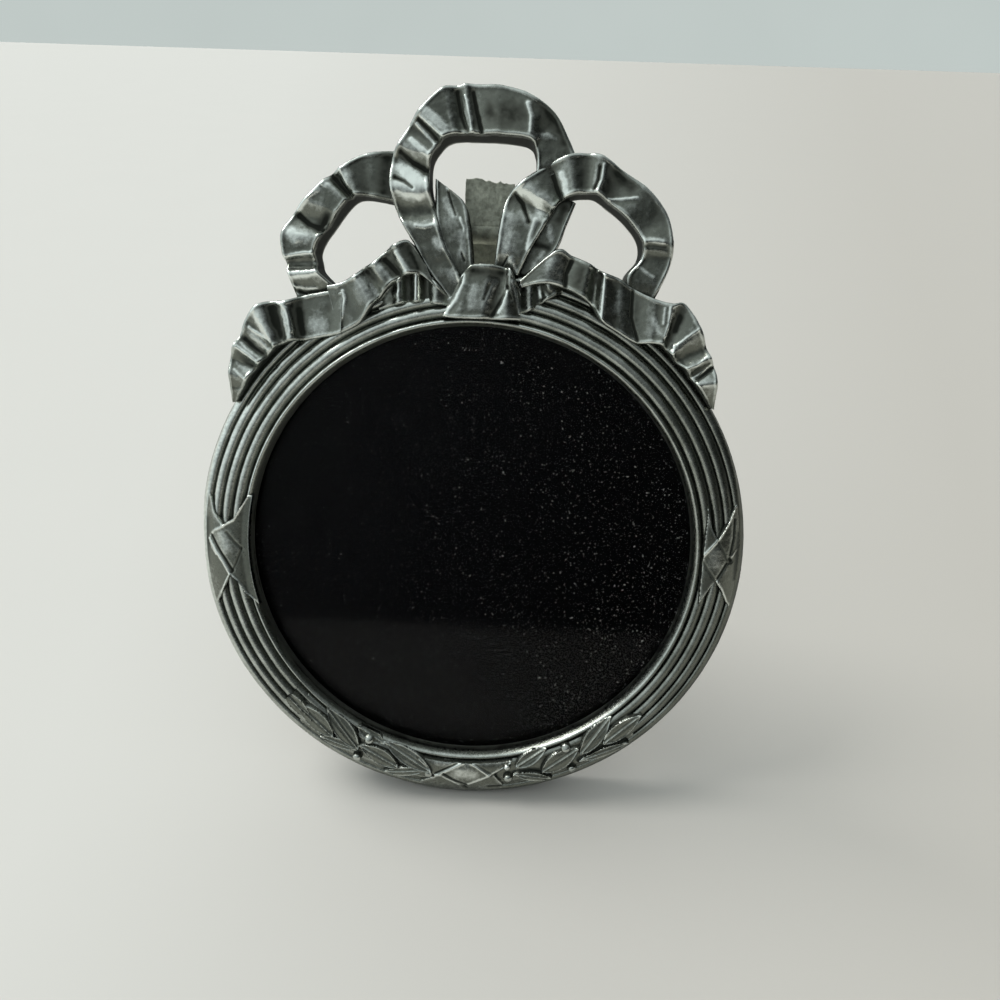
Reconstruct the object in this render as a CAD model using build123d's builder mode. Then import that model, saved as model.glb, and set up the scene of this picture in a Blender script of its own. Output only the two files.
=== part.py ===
"""Round table frame for a small photograph: a reeded ring of cast pewter under a folded ribbon bow.

Lengths are in millimetres and angles in degrees. The frame stands on z = 0, leaning back on the leg
behind it, with its front towards -Y. Depths such as ring_back_depth are measured from the ring's
widest circle, which lies in the plane named front.
"""

import os
from math import cos, radians, sin, tan

from build123d import *

os.makedirs("parts", exist_ok=True)

# Stance
lean_angle = 22.0
leg_spread_angle = 33.0

# Ring
ring_radius = 54.0
reed_band_width = 8.7
ring_back_depth = 5.0
ring_draft = 0.8
bead_width = 1.6
bead_height = 2.8
bead_root_height = 1.4
reed_count = 4
reed_rise = 0.75
shoulder_height = 2.0
shoulder_fall_shares = (0.0, 0.04, 0.18, 0.48, 1.0)
foot_flat_depth = 0.5

# Pack held in the ring's rebate, from the front
rebate_lip_width = 3.0
rebate_clearance = 0.2
glass_thickness = 1.8
glass_seam = 0.3
mount_card_thickness = 0.5
spacer_card_thickness = 0.8
back_board_thickness = 1.3
pack_slack = 0.1

# Crossed wraps at the sides and foot of the ring
wrap_rise = 0.25
wrap_pad_rise = 0.25
wrap_centre_inset = 2.9
wrap_half_width = 8.0
wrap_length = 19.4
wrap_waist = 5.0
wrap_pad_length = 8.6
wrap_pad_width = 5.6
wrap_angles = (0, 180, 270)

# Laurel between the wraps at the foot
leaf_rise = 0.5
leaf_length = 10.0
leaf_width = 4.2
leaf_lean = 13.0
leaf_rows = 4
leaf_first_angle = 10.5
leaf_step_angle = 9.6
leaf_stagger_angle = 3.6
berry_radius = 0.9
berry_angles = (9.5, 26.5, 26.3)
berry_radius_shares = (0.5, 0.12, 0.72)

# Ribbon bow
bow_half_field = 40.0
bow_rise = 40.0
bow_overlap = 10.0
bow_back_depth = 3.3
loop_height = 1.1
centre_loop_height = 1.6
arm_height = 1.5
under_height = 1.9
tail_height = 2.6
knot_height = 3.4
strip_height = -0.4
fold_height = 2.1
ribbon_edge = 0.6
ribbon_edge_share = 0.25

# Leg and its hinge
hinge_centre_x = 1.5
hinge_above_ring = 7.3
barrel_radius = 2.4
barrel_length = 9.2
barrel_side_clearance = 0.2
pin_radius = 0.8
pin_running_clearance = 0.05
pin_fixed_clearance = 0.02
pin_end_length = 0.4
lug_thickness = 1.7
stop_clearance = 0.1
head_length = 9.2
head_slope = 0.9
leg_thickness = 1.8
leg_fold_clearance = 0.3
leg_waist_width = 8.0
leg_foot_width = 24.0
leg_foot_length = 16.0
leg_toe_length = 3.0
leg_flare_share = 0.3
leg_edge = 0.4

# Turn buttons that hold the pack
button_count = 4
button_width = 4.0
button_reach = 5.0
button_thickness = 1.2
button_clearance = 0.05
button_edge = 0.2
rivet_radius = 0.9
rivet_depth = 2.6
rivet_head_radius = 1.7
rivet_head_height = 0.8

overrun = 2.0

# Fold lines of the ribbons. Each row is a fold, from its outer end to its inner end, then its rise.
# Places are shares of the bow's field, across from the middle and up from its foot.
left_loop_shares = (
    (-0.83, 0.0875, -0.64, 0.1325, 0.35),
    (-0.865, 0.195, -0.72, 0.205, 1.0),
    (-0.875, 0.24, -0.735, 0.25, 0.45),
    (-0.89, 0.285, -0.74, 0.295, 0.85),
    (-0.89, 0.365, -0.715, 0.35, 1.0),
    (-0.84, 0.45, -0.67, 0.41, 0.4),
    (-0.78, 0.52, -0.625, 0.47, 0.9),
    (-0.705, 0.59, -0.59, 0.51, 1.0),
    (-0.66, 0.625, -0.57, 0.525, 0.4),
    (-0.61, 0.66, -0.545, 0.535, 0.9),
    (-0.51, 0.715, -0.485, 0.535, 0.45),
    (-0.345, 0.735, -0.33, 0.51, 0.05),
)
centre_loop_shares = (
    (-0.125, 0.1, -0.06, 0.17, 0.4),
    (-0.235, 0.24, -0.095, 0.24, 0.6),
    (-0.285, 0.33, -0.145, 0.33, 0.8),
    (-0.335, 0.41, -0.175, 0.415, 1.0),
    (-0.37, 0.475, -0.195, 0.485, 0.45),
    (-0.4, 0.575, -0.22, 0.57, 1.0),
    (-0.395, 0.685, -0.225, 0.655, 0.4),
    (-0.365, 0.75, -0.215, 0.71, 0.9),
    (-0.32, 0.825, -0.185, 0.755, 0.5),
    (-0.265, 0.9, -0.16, 0.78, 1.0),
    (-0.18, 0.98, -0.125, 0.795, 0.75),
    (-0.115, 0.995, -0.085, 0.8, 0.35),
    (-0.075, 1.0, -0.05, 0.8, 0.9),
    (-0.035, 1.0, -0.01, 0.8, 0.5),
    (0.09, 0.995, 0.075, 0.8, 0.8),
    (0.21, 0.96, 0.205, 0.785, 1.0),
    (0.315, 0.895, 0.24, 0.74, 0.6),
    (0.385, 0.785, 0.245, 0.675, 0.5),
    (0.43, 0.7, 0.235, 0.615, 0.3),
)
right_loop_shares = (
    (0.07, 0.24, 0.185, 0.22, 0.5),
    (0.08, 0.34, 0.235, 0.33, 0.9),
    (0.095, 0.46, 0.295, 0.44, 0.8),
    (0.12, 0.55, 0.315, 0.48, 0.45),
    (0.185, 0.62, 0.335, 0.51, 1.0),
    (0.29, 0.69, 0.36, 0.54, 0.4),
    (0.38, 0.73, 0.41, 0.565, 0.95),
    (0.46, 0.74, 0.465, 0.5725, 0.6),
    (0.53, 0.73, 0.515, 0.57, 1.0),
    (0.63, 0.67, 0.57, 0.535, 0.6),
    (0.74, 0.6, 0.64, 0.485, 0.85),
    (0.83, 0.5, 0.7, 0.425, 0.7),
    (0.865, 0.385, 0.73, 0.37, 1.0),
    (0.865, 0.3, 0.725, 0.305, 0.65),
    (0.835, 0.21, 0.67, 0.23, 0.75),
    (0.79, 0.11, 0.67, 0.12, 0.4),
)
standing_end_shares = (
    (-0.09, 0.2, -0.02, 0.22, 0.4),
    (-0.15, 0.31, -0.03, 0.335, 0.6),
    (-0.19, 0.41, -0.045, 0.44, 0.7),
    (-0.2, 0.53, -0.07, 0.525, 0.5),
    (-0.2, 0.62, -0.14, 0.58, 0.5),
)
rear_strip_shares = (
    (0.16, 0.26, 0.21, 0.2, 0.1),
    (0.25, 0.4, 0.345, 0.33, 0.3),
    (0.31, 0.5, 0.39, 0.44, 0.3),
    (0.36, 0.58, 0.43, 0.545, 0.1),
)
left_base_shares = (
    (-0.24, 0.26, -0.19, 0.155, 0.4),
    (-0.31, 0.35, -0.255, 0.205, 0.5),
    (-0.37, 0.335, -0.31, 0.205, 1.0),
    (-0.415, 0.305, -0.36, 0.18, 0.4),
    (-0.47, 0.255, -0.405, 0.145, 0.85),
    (-0.515, 0.23, -0.44, 0.1, 0.35),
    (-0.555, 0.195, -0.478, 0.06, 1.0),
    (-0.625, 0.16, -0.54, -0.02, 0.6),
    (-0.685, 0.15, -0.63, -0.065, 0.3),
)
left_tail_shares = (
    (-0.61, 0.125, -0.62, -0.065, 0.6),
    (-0.68, 0.125, -0.69, -0.08, 0.2),
    (-0.8, 0.1, -0.79, -0.1, 0.1),
    (-0.87, 0.075, -0.845, -0.105, 0.95),
    (-0.94, 0.07, -0.89, -0.12, 0.5),
    (-1.005, 0.05, -0.92, -0.135, 1.0),
    (-1.06, -0.015, -0.942, -0.155, 0.6),
    (-1.09, -0.085, -0.964, -0.178, 0.4),
    (-1.115, -0.13, -0.99, -0.208, 1.0),
    (-1.14, -0.195, -1.02, -0.24, 0.4),
    (-1.145, -0.26, -1.05, -0.28, 0.85),
    (-1.145, -0.33, -1.085, -0.335, 0.5),
    (-1.15, -0.385, -1.12, -0.385, 0.2),
)
right_tail_shares = (
    (0.19, 0.2, 0.2, 0.165, 0.5),
    (0.345, 0.33, 0.29, 0.185, 0.9),
    (0.42, 0.31, 0.39, 0.17, 0.5),
    (0.495, 0.28, 0.465, 0.135, 0.9),
    (0.535, 0.26, 0.52, 0.095, 0.3),
    (0.57, 0.24, 0.565, 0.03, 1.0),
    (0.635, 0.22, 0.64, -0.015, 0.6),
    (0.705, 0.18, 0.73, -0.06, 0.3),
    (0.81, 0.135, 0.8, -0.06, 0.75),
    (0.88, 0.12, 0.84, -0.065, 1.0),
    (0.94, 0.12, 0.868, -0.088, 0.5),
    (1.015, 0.02, 0.888, -0.106, 0.9),
    (1.055, -0.07, 0.915, -0.138, 0.4),
    (1.075, -0.11, 0.96, -0.17, 0.9),
    (1.095, -0.15, 0.99, -0.21, 0.4),
    (1.115, -0.22, 1.02, -0.24, 0.85),
    (1.125, -0.32, 1.08, -0.32, 0.2),
)
left_under_shares = (
    (-0.13, 0.12, -0.12, 0.075, 0.3),
    (-0.185, 0.175, -0.185, 0.08, 0.7),
    (-0.235, 0.215, -0.23, 0.085, 0.2),
    (-0.275, 0.225, -0.275, 0.085, 0.9),
    (-0.32, 0.22, -0.315, 0.08, 0.2),
    (-0.355, 0.195, -0.355, 0.075, 0.8),
    (-0.4, 0.16, -0.395, 0.065, 0.3),
    (-0.455, 0.1, -0.45, 0.045, 0.1),
)
right_under_shares = (
    (0.19, 0.185, 0.2, 0.05, 0.4),
    (0.235, 0.2, 0.24, 0.065, 0.8),
    (0.275, 0.21, 0.28, 0.09, 0.2),
    (0.32, 0.21, 0.325, 0.12, 0.8),
    (0.385, 0.195, 0.385, 0.15, 0.1),
)
knot_shares = (
    (-0.065, 0.22, -0.155, 0.025, 0.5),
    (-0.025, 0.255, -0.075, 0.02, 0.9),
    (0.05, 0.26, 0.015, 0.02, 1.0),
    (0.12, 0.25, 0.07, 0.02, 0.6),
    (0.15, 0.24, 0.13, 0.02, 1.0),
    (0.195, 0.15, 0.2, 0.02, 0.5),
)

# Worked out from the sizes above
lean_sin = sin(radians(lean_angle))
lean_cos = cos(radians(lean_angle))
ring_back_radius = ring_radius - ring_draft
reed_start_radius = ring_radius - reed_band_width
sight_radius = reed_start_radius - bead_width
rebate_radius = sight_radius + rebate_lip_width
reed_pitch = reed_band_width / reed_count
crown_height = shoulder_height + reed_rise
leaf_crown_height = crown_height + leaf_rise
seat_depth = ring_back_depth - (
    glass_thickness + mount_card_thickness + spacer_card_thickness + back_board_thickness + pack_slack
)
pack_radius = rebate_radius - rebate_clearance

hinge_y = ring_radius + hinge_above_ring
hinge_depth = bow_back_depth + stop_clearance + barrel_radius
leg_face_offset = hinge_depth - ring_back_depth - leg_fold_clearance
leg_tilt_angle = leg_spread_angle - lean_angle

ring_centre_z = ring_back_radius * lean_cos + ring_back_depth * lean_sin - foot_flat_depth
hinge_z = ring_centre_z + hinge_y * lean_cos - hinge_depth * lean_sin
front_reach = ring_radius * lean_sin + shoulder_height * lean_cos
rear_reach = (
    hinge_y * lean_sin
    + hinge_depth * lean_cos
    + hinge_z * tan(radians(leg_tilt_angle))
    + (leg_thickness - leg_face_offset) / cos(radians(leg_tilt_angle))
)

front = Plane(
    origin=(0, (front_reach - rear_reach) / 2, ring_centre_z),
    x_dir=(1, 0, 0),
    z_dir=(0, -lean_cos, lean_sin),
)
section = Plane(origin=front.origin, x_dir=front.x_dir, z_dir=-front.y_dir)
side = Plane(origin=front.origin, x_dir=front.y_dir, z_dir=front.x_dir)
ring_axis = Axis(front.origin, front.z_dir)
hinge_point = front.from_local_coords(Vector(hinge_centre_x, hinge_y, -hinge_depth))
leg_plane = Plane(
    origin=hinge_point,
    x_dir=(1, 0, 0),
    z_dir=(0, -cos(radians(leg_tilt_angle)), -sin(radians(leg_tilt_angle))),
)


def polar(radius, angle):
    """A point on the ring's face, the angle taken anticlockwise from the right."""
    return radius * cos(radians(angle)), radius * sin(radians(angle))


def bow_point(across_share, up_share):
    """A place in the bow's field, as a point in the plane of the ring's widest circle."""
    local = Vector(across_share * bow_half_field, ring_radius - bow_overlap + up_share * bow_rise, 0)
    return front.from_local_coords(local)


def folded_ribbon(fold_shares, base_height):
    """A length of folded ribbon: a flat-edged section at every fold, joined by straight panels."""
    with BuildPart() as ribbon:
        for outer_x, outer_y, inner_x, inner_y, rise_share in fold_shares:
            outer_end = bow_point(outer_x, outer_y)
            across = bow_point(inner_x, inner_y) - outer_end
            width = across.length
            edge = min(ribbon_edge, width * ribbon_edge_share)
            top = base_height + rise_share * fold_height
            fold = Plane(origin=outer_end, x_dir=across, z_dir=across.cross(front.z_dir))
            with BuildSketch(fold):
                with BuildLine():
                    Polyline(
                        (0, -bow_back_depth),
                        (0, top - edge),
                        (edge, top),
                        (width - edge, top),
                        (width, top - edge),
                        (width, -bow_back_depth),
                        close=True,
                    )
                make_face()
        loft(ruled=True)
    return ribbon.part


def crown_blank(height):
    """A full turn of the band outside the bead, domed over the reeds to a given height."""
    middle_radius = ring_radius - reed_band_width / 2
    with BuildPart() as blank:
        with BuildSketch(section):
            with BuildLine():
                ThreePointArc((reed_start_radius, height), (middle_radius, height), (ring_radius, 0))
                Polyline((ring_radius, 0), (reed_start_radius, 0), (reed_start_radius, height))
            make_face()
        revolve(axis=ring_axis)
    return blank.part


# Ring's turned shape, with its bead, reeds and rebate
with BuildPart() as ring_body:
    with BuildSketch(section):
        with BuildLine():
            Polyline(
                (ring_radius, 0),
                (ring_back_radius, -ring_back_depth),
                (rebate_radius, -ring_back_depth),
                (rebate_radius, -seat_depth),
                (sight_radius, -seat_depth),
                (sight_radius, bead_root_height),
            )
            ThreePointArc(
                (sight_radius, bead_root_height),
                (sight_radius + bead_width / 2, bead_height),
                (reed_start_radius, shoulder_height),
            )
            for reed in range(reed_count):
                hollow = Vector(
                    reed_start_radius + reed * reed_pitch,
                    shoulder_height * (1 - shoulder_fall_shares[reed]),
                )
                next_hollow = Vector(
                    reed_start_radius + (reed + 1) * reed_pitch,
                    shoulder_height * (1 - shoulder_fall_shares[reed + 1]),
                )
                outward = (next_hollow - hollow).normalized().rotate(Axis.Z, 90)
                crest = (hollow + next_hollow) / 2 + outward * reed_rise
                ThreePointArc(hollow, crest, next_hollow)
        make_face()
    revolve(axis=ring_axis)

# Crossed ribbon wraps: notched at both ends, with a raised pad where the two turns cross
wrap_centre_radius = reed_start_radius + wrap_centre_inset
wrap_places = [Location(polar(wrap_centre_radius, angle), angle) for angle in wrap_angles]
with BuildSketch() as wrap_outline:
    with BuildLine():
        Polyline(
            (-wrap_half_width, -wrap_length),
            (0, -wrap_waist),
            (wrap_half_width, -wrap_length),
            (wrap_half_width, wrap_length),
            (0, wrap_waist),
            (-wrap_half_width, wrap_length),
            close=True,
        )
    make_face()
with BuildPart() as wraps:
    add(crown_blank(crown_height + wrap_rise))
    with BuildSketch(front):
        with Locations(*wrap_places):
            add(wrap_outline.sketch)
    extrude(amount=ring_radius, mode=Mode.INTERSECT)
with BuildSketch() as pad_outline:
    with BuildLine():
        Polyline(
            (-wrap_pad_width / 2, 0),
            (0, -wrap_pad_length / 2),
            (wrap_pad_width / 2, 0),
            (0, wrap_pad_length / 2),
            close=True,
        )
    make_face()
with BuildPart() as wrap_pads:
    add(crown_blank(crown_height + wrap_rise + wrap_pad_rise))
    with BuildSketch(front):
        with Locations(*wrap_places):
            add(pad_outline.sketch)
    extrude(amount=ring_radius, mode=Mode.INTERSECT)

# Laurel: an inner and an outer row of leaves on each side of the foot wrap
with BuildSketch() as leaf:
    with BuildLine():
        ThreePointArc((-leaf_length / 2, 0), (0, leaf_width / 2), (leaf_length / 2, 0))
        ThreePointArc((leaf_length / 2, 0), (0, -leaf_width / 2), (-leaf_length / 2, 0))
    make_face()
leaf_places = []
for row in range(leaf_rows):
    inner_angle = leaf_first_angle + row * leaf_step_angle - 90
    outer_angle = inner_angle + leaf_stagger_angle
    leaf_places.append(
        Location(polar(reed_start_radius + leaf_width / 2, inner_angle), inner_angle + 90 + leaf_lean)
    )
    leaf_places.append(
        Location(polar(ring_radius - leaf_width / 2, outer_angle), outer_angle + 90 - leaf_lean)
    )
with BuildPart() as laurel:
    add(crown_blank(leaf_crown_height))
    with BuildSketch(front):
        with Locations(*leaf_places):
            add(leaf.sketch)
        mirror(about=Plane.YZ)
    extrude(amount=ring_radius, mode=Mode.INTERSECT)
with BuildPart() as berries:
    for angle, radius_share in zip(berry_angles, berry_radius_shares):
        berry_ring_radius = reed_start_radius + radius_share * reed_band_width
        for side_sign in (-1, 1):
            across, up = polar(berry_ring_radius, side_sign * angle - 90)
            height = shoulder_height * (1 - radius_share**2)
            with Locations(front.from_local_coords(Vector(across, up, height))):
                Sphere(berry_radius)

left_loop = folded_ribbon(left_loop_shares, loop_height)
centre_loop = folded_ribbon(centre_loop_shares, centre_loop_height)
right_loop = folded_ribbon(right_loop_shares, arm_height)
standing_end = folded_ribbon(standing_end_shares, loop_height)
rear_strip = folded_ribbon(rear_strip_shares, strip_height)
left_under = folded_ribbon(left_under_shares, under_height)
right_under = folded_ribbon(right_under_shares, under_height)
left_base = folded_ribbon(left_base_shares, tail_height)
left_tail = folded_ribbon(left_tail_shares, tail_height)
right_tail = folded_ribbon(right_tail_shares, tail_height)
knot = folded_ribbon(knot_shares, knot_height)

button_angles = [45 + 360 / button_count * number for number in range(button_count)]
button_pivot_radius = (rebate_radius + ring_back_radius) / 2
button_pivots = [polar(button_pivot_radius, angle) for angle in button_angles]

# The one casting: ring, wraps, laurel, bow and the two hinge lugs behind the bow
lug_start = barrel_length / 2 + barrel_side_clearance
with BuildPart() as front_casting:
    add(ring_body.part)
    add(wraps.part)
    add(wrap_pads.part)
    add(laurel.part)
    add(berries.part)
    for ribbon in (rear_strip, left_loop, centre_loop, right_loop, standing_end):
        add(ribbon)
    for ribbon in (left_under, right_under, left_base, left_tail, right_tail, knot):
        add(ribbon)
    with BuildSketch(front.offset(-seat_depth)):
        Circle(rebate_radius)
    extrude(amount=-ring_back_depth, mode=Mode.SUBTRACT)
    for lug_side in (hinge_centre_x - lug_start - lug_thickness, hinge_centre_x + lug_start):
        with BuildSketch(side.offset(lug_side)):
            with Locations((hinge_y, -hinge_depth)):
                Circle(barrel_radius)
            with Locations((hinge_y, -(hinge_depth + bow_back_depth / 2) / 2)):
                Rectangle(2 * barrel_radius, hinge_depth - bow_back_depth / 2)
        extrude(amount=lug_thickness)
    with BuildSketch(side.offset(hinge_centre_x - lug_start - lug_thickness)):
        with Locations((hinge_y, -hinge_depth)):
            Circle(pin_radius + pin_fixed_clearance)
    extrude(amount=2 * (lug_start + lug_thickness), mode=Mode.SUBTRACT)
    with BuildSketch(front.offset(-ring_back_depth)):
        with Locations(*button_pivots):
            Circle(rivet_radius + pin_fixed_clearance)
    extrude(amount=rivet_depth, mode=Mode.SUBTRACT)
    split(bisect_by=Plane.XY, keep=Keep.TOP)
front_casting.part.label = "front_casting"
export_step(front_casting.part, "parts/front_casting.step")

# Pack in the rebate
glass_back_depth = seat_depth + glass_thickness
with BuildPart() as glass_pane:
    with BuildSketch(front.offset(-seat_depth)):
        Circle(pack_radius)
    extrude(amount=-glass_thickness)
    chamfer(glass_pane.edges(), glass_seam)
glass_pane.part.label = "glass_pane"
export_step(glass_pane.part, "parts/glass_pane.step")

with BuildPart() as mount_card:
    with BuildSketch(front.offset(-glass_back_depth)):
        Circle(pack_radius)
    extrude(amount=-mount_card_thickness)
mount_card.part.label = "mount_card"
export_step(mount_card.part, "parts/mount_card.step")

spacer_front_depth = glass_back_depth + mount_card_thickness
with BuildPart() as spacer_card:
    with BuildSketch(front.offset(-spacer_front_depth)):
        Circle(pack_radius)
    extrude(amount=-spacer_card_thickness)
spacer_card.part.label = "spacer_card"
export_step(spacer_card.part, "parts/spacer_card.step")

with BuildPart() as back_board:
    with BuildSketch(front.offset(-spacer_front_depth - spacer_card_thickness)):
        Circle(pack_radius)
    extrude(amount=-back_board_thickness)
back_board.part.label = "back_board"
export_step(back_board.part, "parts/back_board.step")

# Turn buttons and the rivets that they pivot on
button_front_depth = ring_back_depth + button_clearance
button_back_depth = button_front_depth + button_thickness
for number, (angle, pivot) in enumerate(zip(button_angles, button_pivots), start=1):
    slot_middle = polar(button_pivot_radius - button_reach / 2, angle)
    with BuildPart() as turn_button:
        with BuildSketch(front.offset(-button_front_depth)):
            SlotCenterPoint(slot_middle, pivot, button_width)
        extrude(amount=-button_thickness)
        chamfer(turn_button.faces().sort_by(ring_axis)[0].edges(), button_edge)
        with BuildSketch(front.offset(-button_front_depth)):
            with Locations(pivot):
                Circle(rivet_radius + pin_running_clearance)
        extrude(amount=-button_thickness, mode=Mode.SUBTRACT)
    turn_button.part.label = f"turn_button_{number}"
    export_step(turn_button.part, f"parts/turn_button_{number}.step")

with BuildPart() as button_rivets:
    with BuildSketch(front.offset(-button_back_depth - button_clearance)):
        with Locations(*button_pivots):
            Circle(rivet_radius)
    extrude(amount=button_thickness + 2 * button_clearance + rivet_depth)
    with BuildSketch(front.offset(-button_back_depth - button_clearance)):
        with Locations(*button_pivots):
            Circle(rivet_head_radius)
    extrude(amount=-rivet_head_height, taper=30)
button_rivets.part.label = "button_rivets"
export_step(button_rivets.part, "parts/button_rivets.step")

# Hinge pin, held by the lugs
pin_half_length = lug_start + lug_thickness + pin_end_length
with BuildPart() as hinge_pin:
    with BuildSketch(side.offset(hinge_centre_x - pin_half_length)):
        with Locations((hinge_y, -hinge_depth)):
            Circle(pin_radius)
    extrude(amount=2 * pin_half_length)
    chamfer(hinge_pin.edges(), pin_end_length / 2)
hinge_pin.part.label = "hinge_pin"
export_step(hinge_pin.part, "parts/hinge_pin.step")

# Leg: a barrel on the pin, a head above it that stops against the bow, and the strut with its foot
leg_length = hinge_z / cos(radians(leg_tilt_angle))
flare_top = leg_foot_length - leg_length
flare_bottom = leg_toe_length - leg_length
flare_bend = (
    leg_waist_width / 2 + (leg_foot_width - leg_waist_width) / 2 * leg_flare_share,
    flare_bottom + (flare_top - flare_bottom) * leg_flare_share,
)
with BuildPart() as easel_leg:
    with BuildSketch(leg_plane.offset(leg_face_offset)):
        with BuildLine():
            Polyline(
                (0, 0),
                (barrel_length / 2, 0),
                (leg_waist_width / 2, -leg_length / 2),
                (leg_waist_width / 2, flare_top),
            )
            ThreePointArc(
                (leg_waist_width / 2, flare_top), flare_bend, (leg_foot_width / 2, flare_bottom)
            )
            Polyline(
                (leg_foot_width / 2, flare_bottom),
                (leg_foot_width / 2, -leg_length - overrun),
                (0, -leg_length - overrun),
            )
            mirror(about=Plane.YZ)
        make_face()
    extrude(amount=-leg_thickness)
    chamfer(easel_leg.faces().sort_by(Axis(hinge_point, leg_plane.z_dir))[0].edges(), leg_edge)
    with BuildSketch(front.offset(-bow_back_depth - stop_clearance)):
        with BuildLine():
            Polyline(
                (hinge_centre_x - barrel_length / 2, hinge_y),
                (hinge_centre_x + barrel_length / 2, hinge_y),
                (hinge_centre_x + barrel_length / 2, hinge_y + head_length - head_slope),
                (hinge_centre_x - barrel_length / 2, hinge_y + head_length),
                close=True,
            )
        make_face()
    extrude(amount=-leg_thickness)
    with BuildSketch(side.offset(hinge_centre_x - barrel_length / 2)):
        with Locations((hinge_y, -hinge_depth)):
            Circle(barrel_radius)
    extrude(amount=barrel_length)
    with BuildSketch(side.offset(hinge_centre_x - barrel_length / 2)):
        with Locations((hinge_y, -hinge_depth)):
            Circle(pin_radius + pin_running_clearance)
    extrude(amount=barrel_length, mode=Mode.SUBTRACT)
    split(bisect_by=Plane.XY, keep=Keep.TOP)
easel_leg.part.label = "easel_leg"
export_step(easel_leg.part, "parts/easel_leg.step")
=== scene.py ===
"""Round pewter table frame: looks of its casting, leg, glass and fittings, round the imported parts.

Sizes are in metres, and in the tables in millimetres. The casting is modelled lying on the plane of
the ring's widest circle, X to the right, Y up the ring and Z towards the viewer, and is then stood
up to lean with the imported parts.
"""

from math import cos, hypot, pi, radians, tan
import bpy
import numpy as np
from bpy.props import FloatProperty, FloatVectorProperty, IntProperty, PointerProperty
from mathutils import Euler, Matrix, Vector, noise


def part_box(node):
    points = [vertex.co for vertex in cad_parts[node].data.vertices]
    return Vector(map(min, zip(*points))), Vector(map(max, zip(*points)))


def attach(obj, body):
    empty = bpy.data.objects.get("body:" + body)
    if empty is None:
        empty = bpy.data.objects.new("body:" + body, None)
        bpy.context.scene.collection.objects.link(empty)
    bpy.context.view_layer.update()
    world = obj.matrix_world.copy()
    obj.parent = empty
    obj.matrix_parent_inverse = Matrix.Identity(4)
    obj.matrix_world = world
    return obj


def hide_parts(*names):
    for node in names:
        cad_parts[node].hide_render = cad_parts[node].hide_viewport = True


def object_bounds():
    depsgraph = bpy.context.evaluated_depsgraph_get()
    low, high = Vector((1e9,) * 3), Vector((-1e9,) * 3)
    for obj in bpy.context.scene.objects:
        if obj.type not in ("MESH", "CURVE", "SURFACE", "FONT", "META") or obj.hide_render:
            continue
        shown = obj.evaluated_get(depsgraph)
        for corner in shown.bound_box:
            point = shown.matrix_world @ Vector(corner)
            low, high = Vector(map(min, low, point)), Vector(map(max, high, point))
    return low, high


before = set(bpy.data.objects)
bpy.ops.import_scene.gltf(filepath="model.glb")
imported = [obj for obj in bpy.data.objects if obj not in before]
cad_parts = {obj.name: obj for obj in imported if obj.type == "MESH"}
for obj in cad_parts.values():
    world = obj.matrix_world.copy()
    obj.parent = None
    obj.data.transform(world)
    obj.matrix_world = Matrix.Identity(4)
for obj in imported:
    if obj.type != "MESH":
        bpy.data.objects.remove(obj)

bl_info = {
    "name": "Round pewter frame",
    "version": (1, 0, 0),
    "blender": (4, 5, 0),
    "location": "3D View > Sidebar > Round frame",
    "description": "Models the casting, leg, glass and fittings of a round pewter table frame",
    "category": "Object",
}

MM = 0.001
# Corners of a grid's seams that are this close are one corner
SEAM = 0.004 * MM
cad_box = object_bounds()


def length(name, description, millimetres):
    """A property that holds a length."""
    return FloatProperty(
        name=name, description=description, default=millimetres * MM, unit="LENGTH", precision=5
    )


def angle(name, description, degrees):
    """A property that holds an angle."""
    return FloatProperty(
        name=name, description=description, default=radians(degrees), unit="ROTATION"
    )


def colour(name, description, red, green, blue):
    """A property that holds a colour."""
    shade = (red, green, blue)
    return FloatVectorProperty(
        name=name, description=description, default=shade, size=3, min=0, max=1, subtype="COLOR"
    )


def direction(name, description, across, away, up):
    """A property that holds a direction."""
    return FloatVectorProperty(
        name=name, description=description, default=(across, away, up), size=3
    )


class RingSizes(bpy.types.PropertyGroup):
    """Sizes of the turned ring and of what wraps it."""

    lean: angle("Lean", "How far the ring leans back", 22)
    radius: length("Ring radius", "Radius of the widest circle", 54)
    band_width: length("Reed band", "Width of the reeded band outside the bead", 8.7)
    bead_width: length("Bead width", "Width of the plain bead round the glass", 1.6)
    bead_height: length("Bead height", "Crest of the bead above the widest circle", 2.8)
    bead_root: length("Bead root", "Inner edge of the bead above the widest circle", 1.4)
    shoulder: length("Shoulder", "Height of the band beside the bead", 2.0)
    reed_rise: length("Reed rise", "Crest of a reed above the hollows beside it", 0.75)
    reed_groove: length("Reed groove", "Depth of the worn-in grooves between reeds", 0.25)
    reed_count: IntProperty(name="Reeds", description="Reeds side by side in the band", default=4)
    back_depth: length("Back depth", "Depth of the ring behind the widest circle", 5.0)
    back_draft: length("Back draft", "How much narrower the ring is at its back", 0.8)
    seat_depth: length("Glass seat", "Depth of the seat that the glass lies against", 0.5)
    rebate_lip: length("Rebate lip", "Width of the seat", 3.0)
    wrap_rise: length("Wrap rise", "Height of the wraps over the reeds", 0.25)
    flat_side: length("Flat side", "How far the left side is rubbed flat", 0.7)


class LaurelSizes(bpy.types.PropertyGroup):
    """Sizes of the leaves and berries at the ring's foot."""

    leaf_rise: length("Leaf rise", "Height of the leaves over the reeds", 0.45)
    bed_depth: length("Bed depth", "Ground between the leaves, below the reeds' crests", 0.35)
    tip_rise: length("Tip rise", "How much higher a leaf's tip is than its stalk", 0.4)
    berry_radius: length("Berry radius", "Radius of the largest berry", 1.0)


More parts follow.
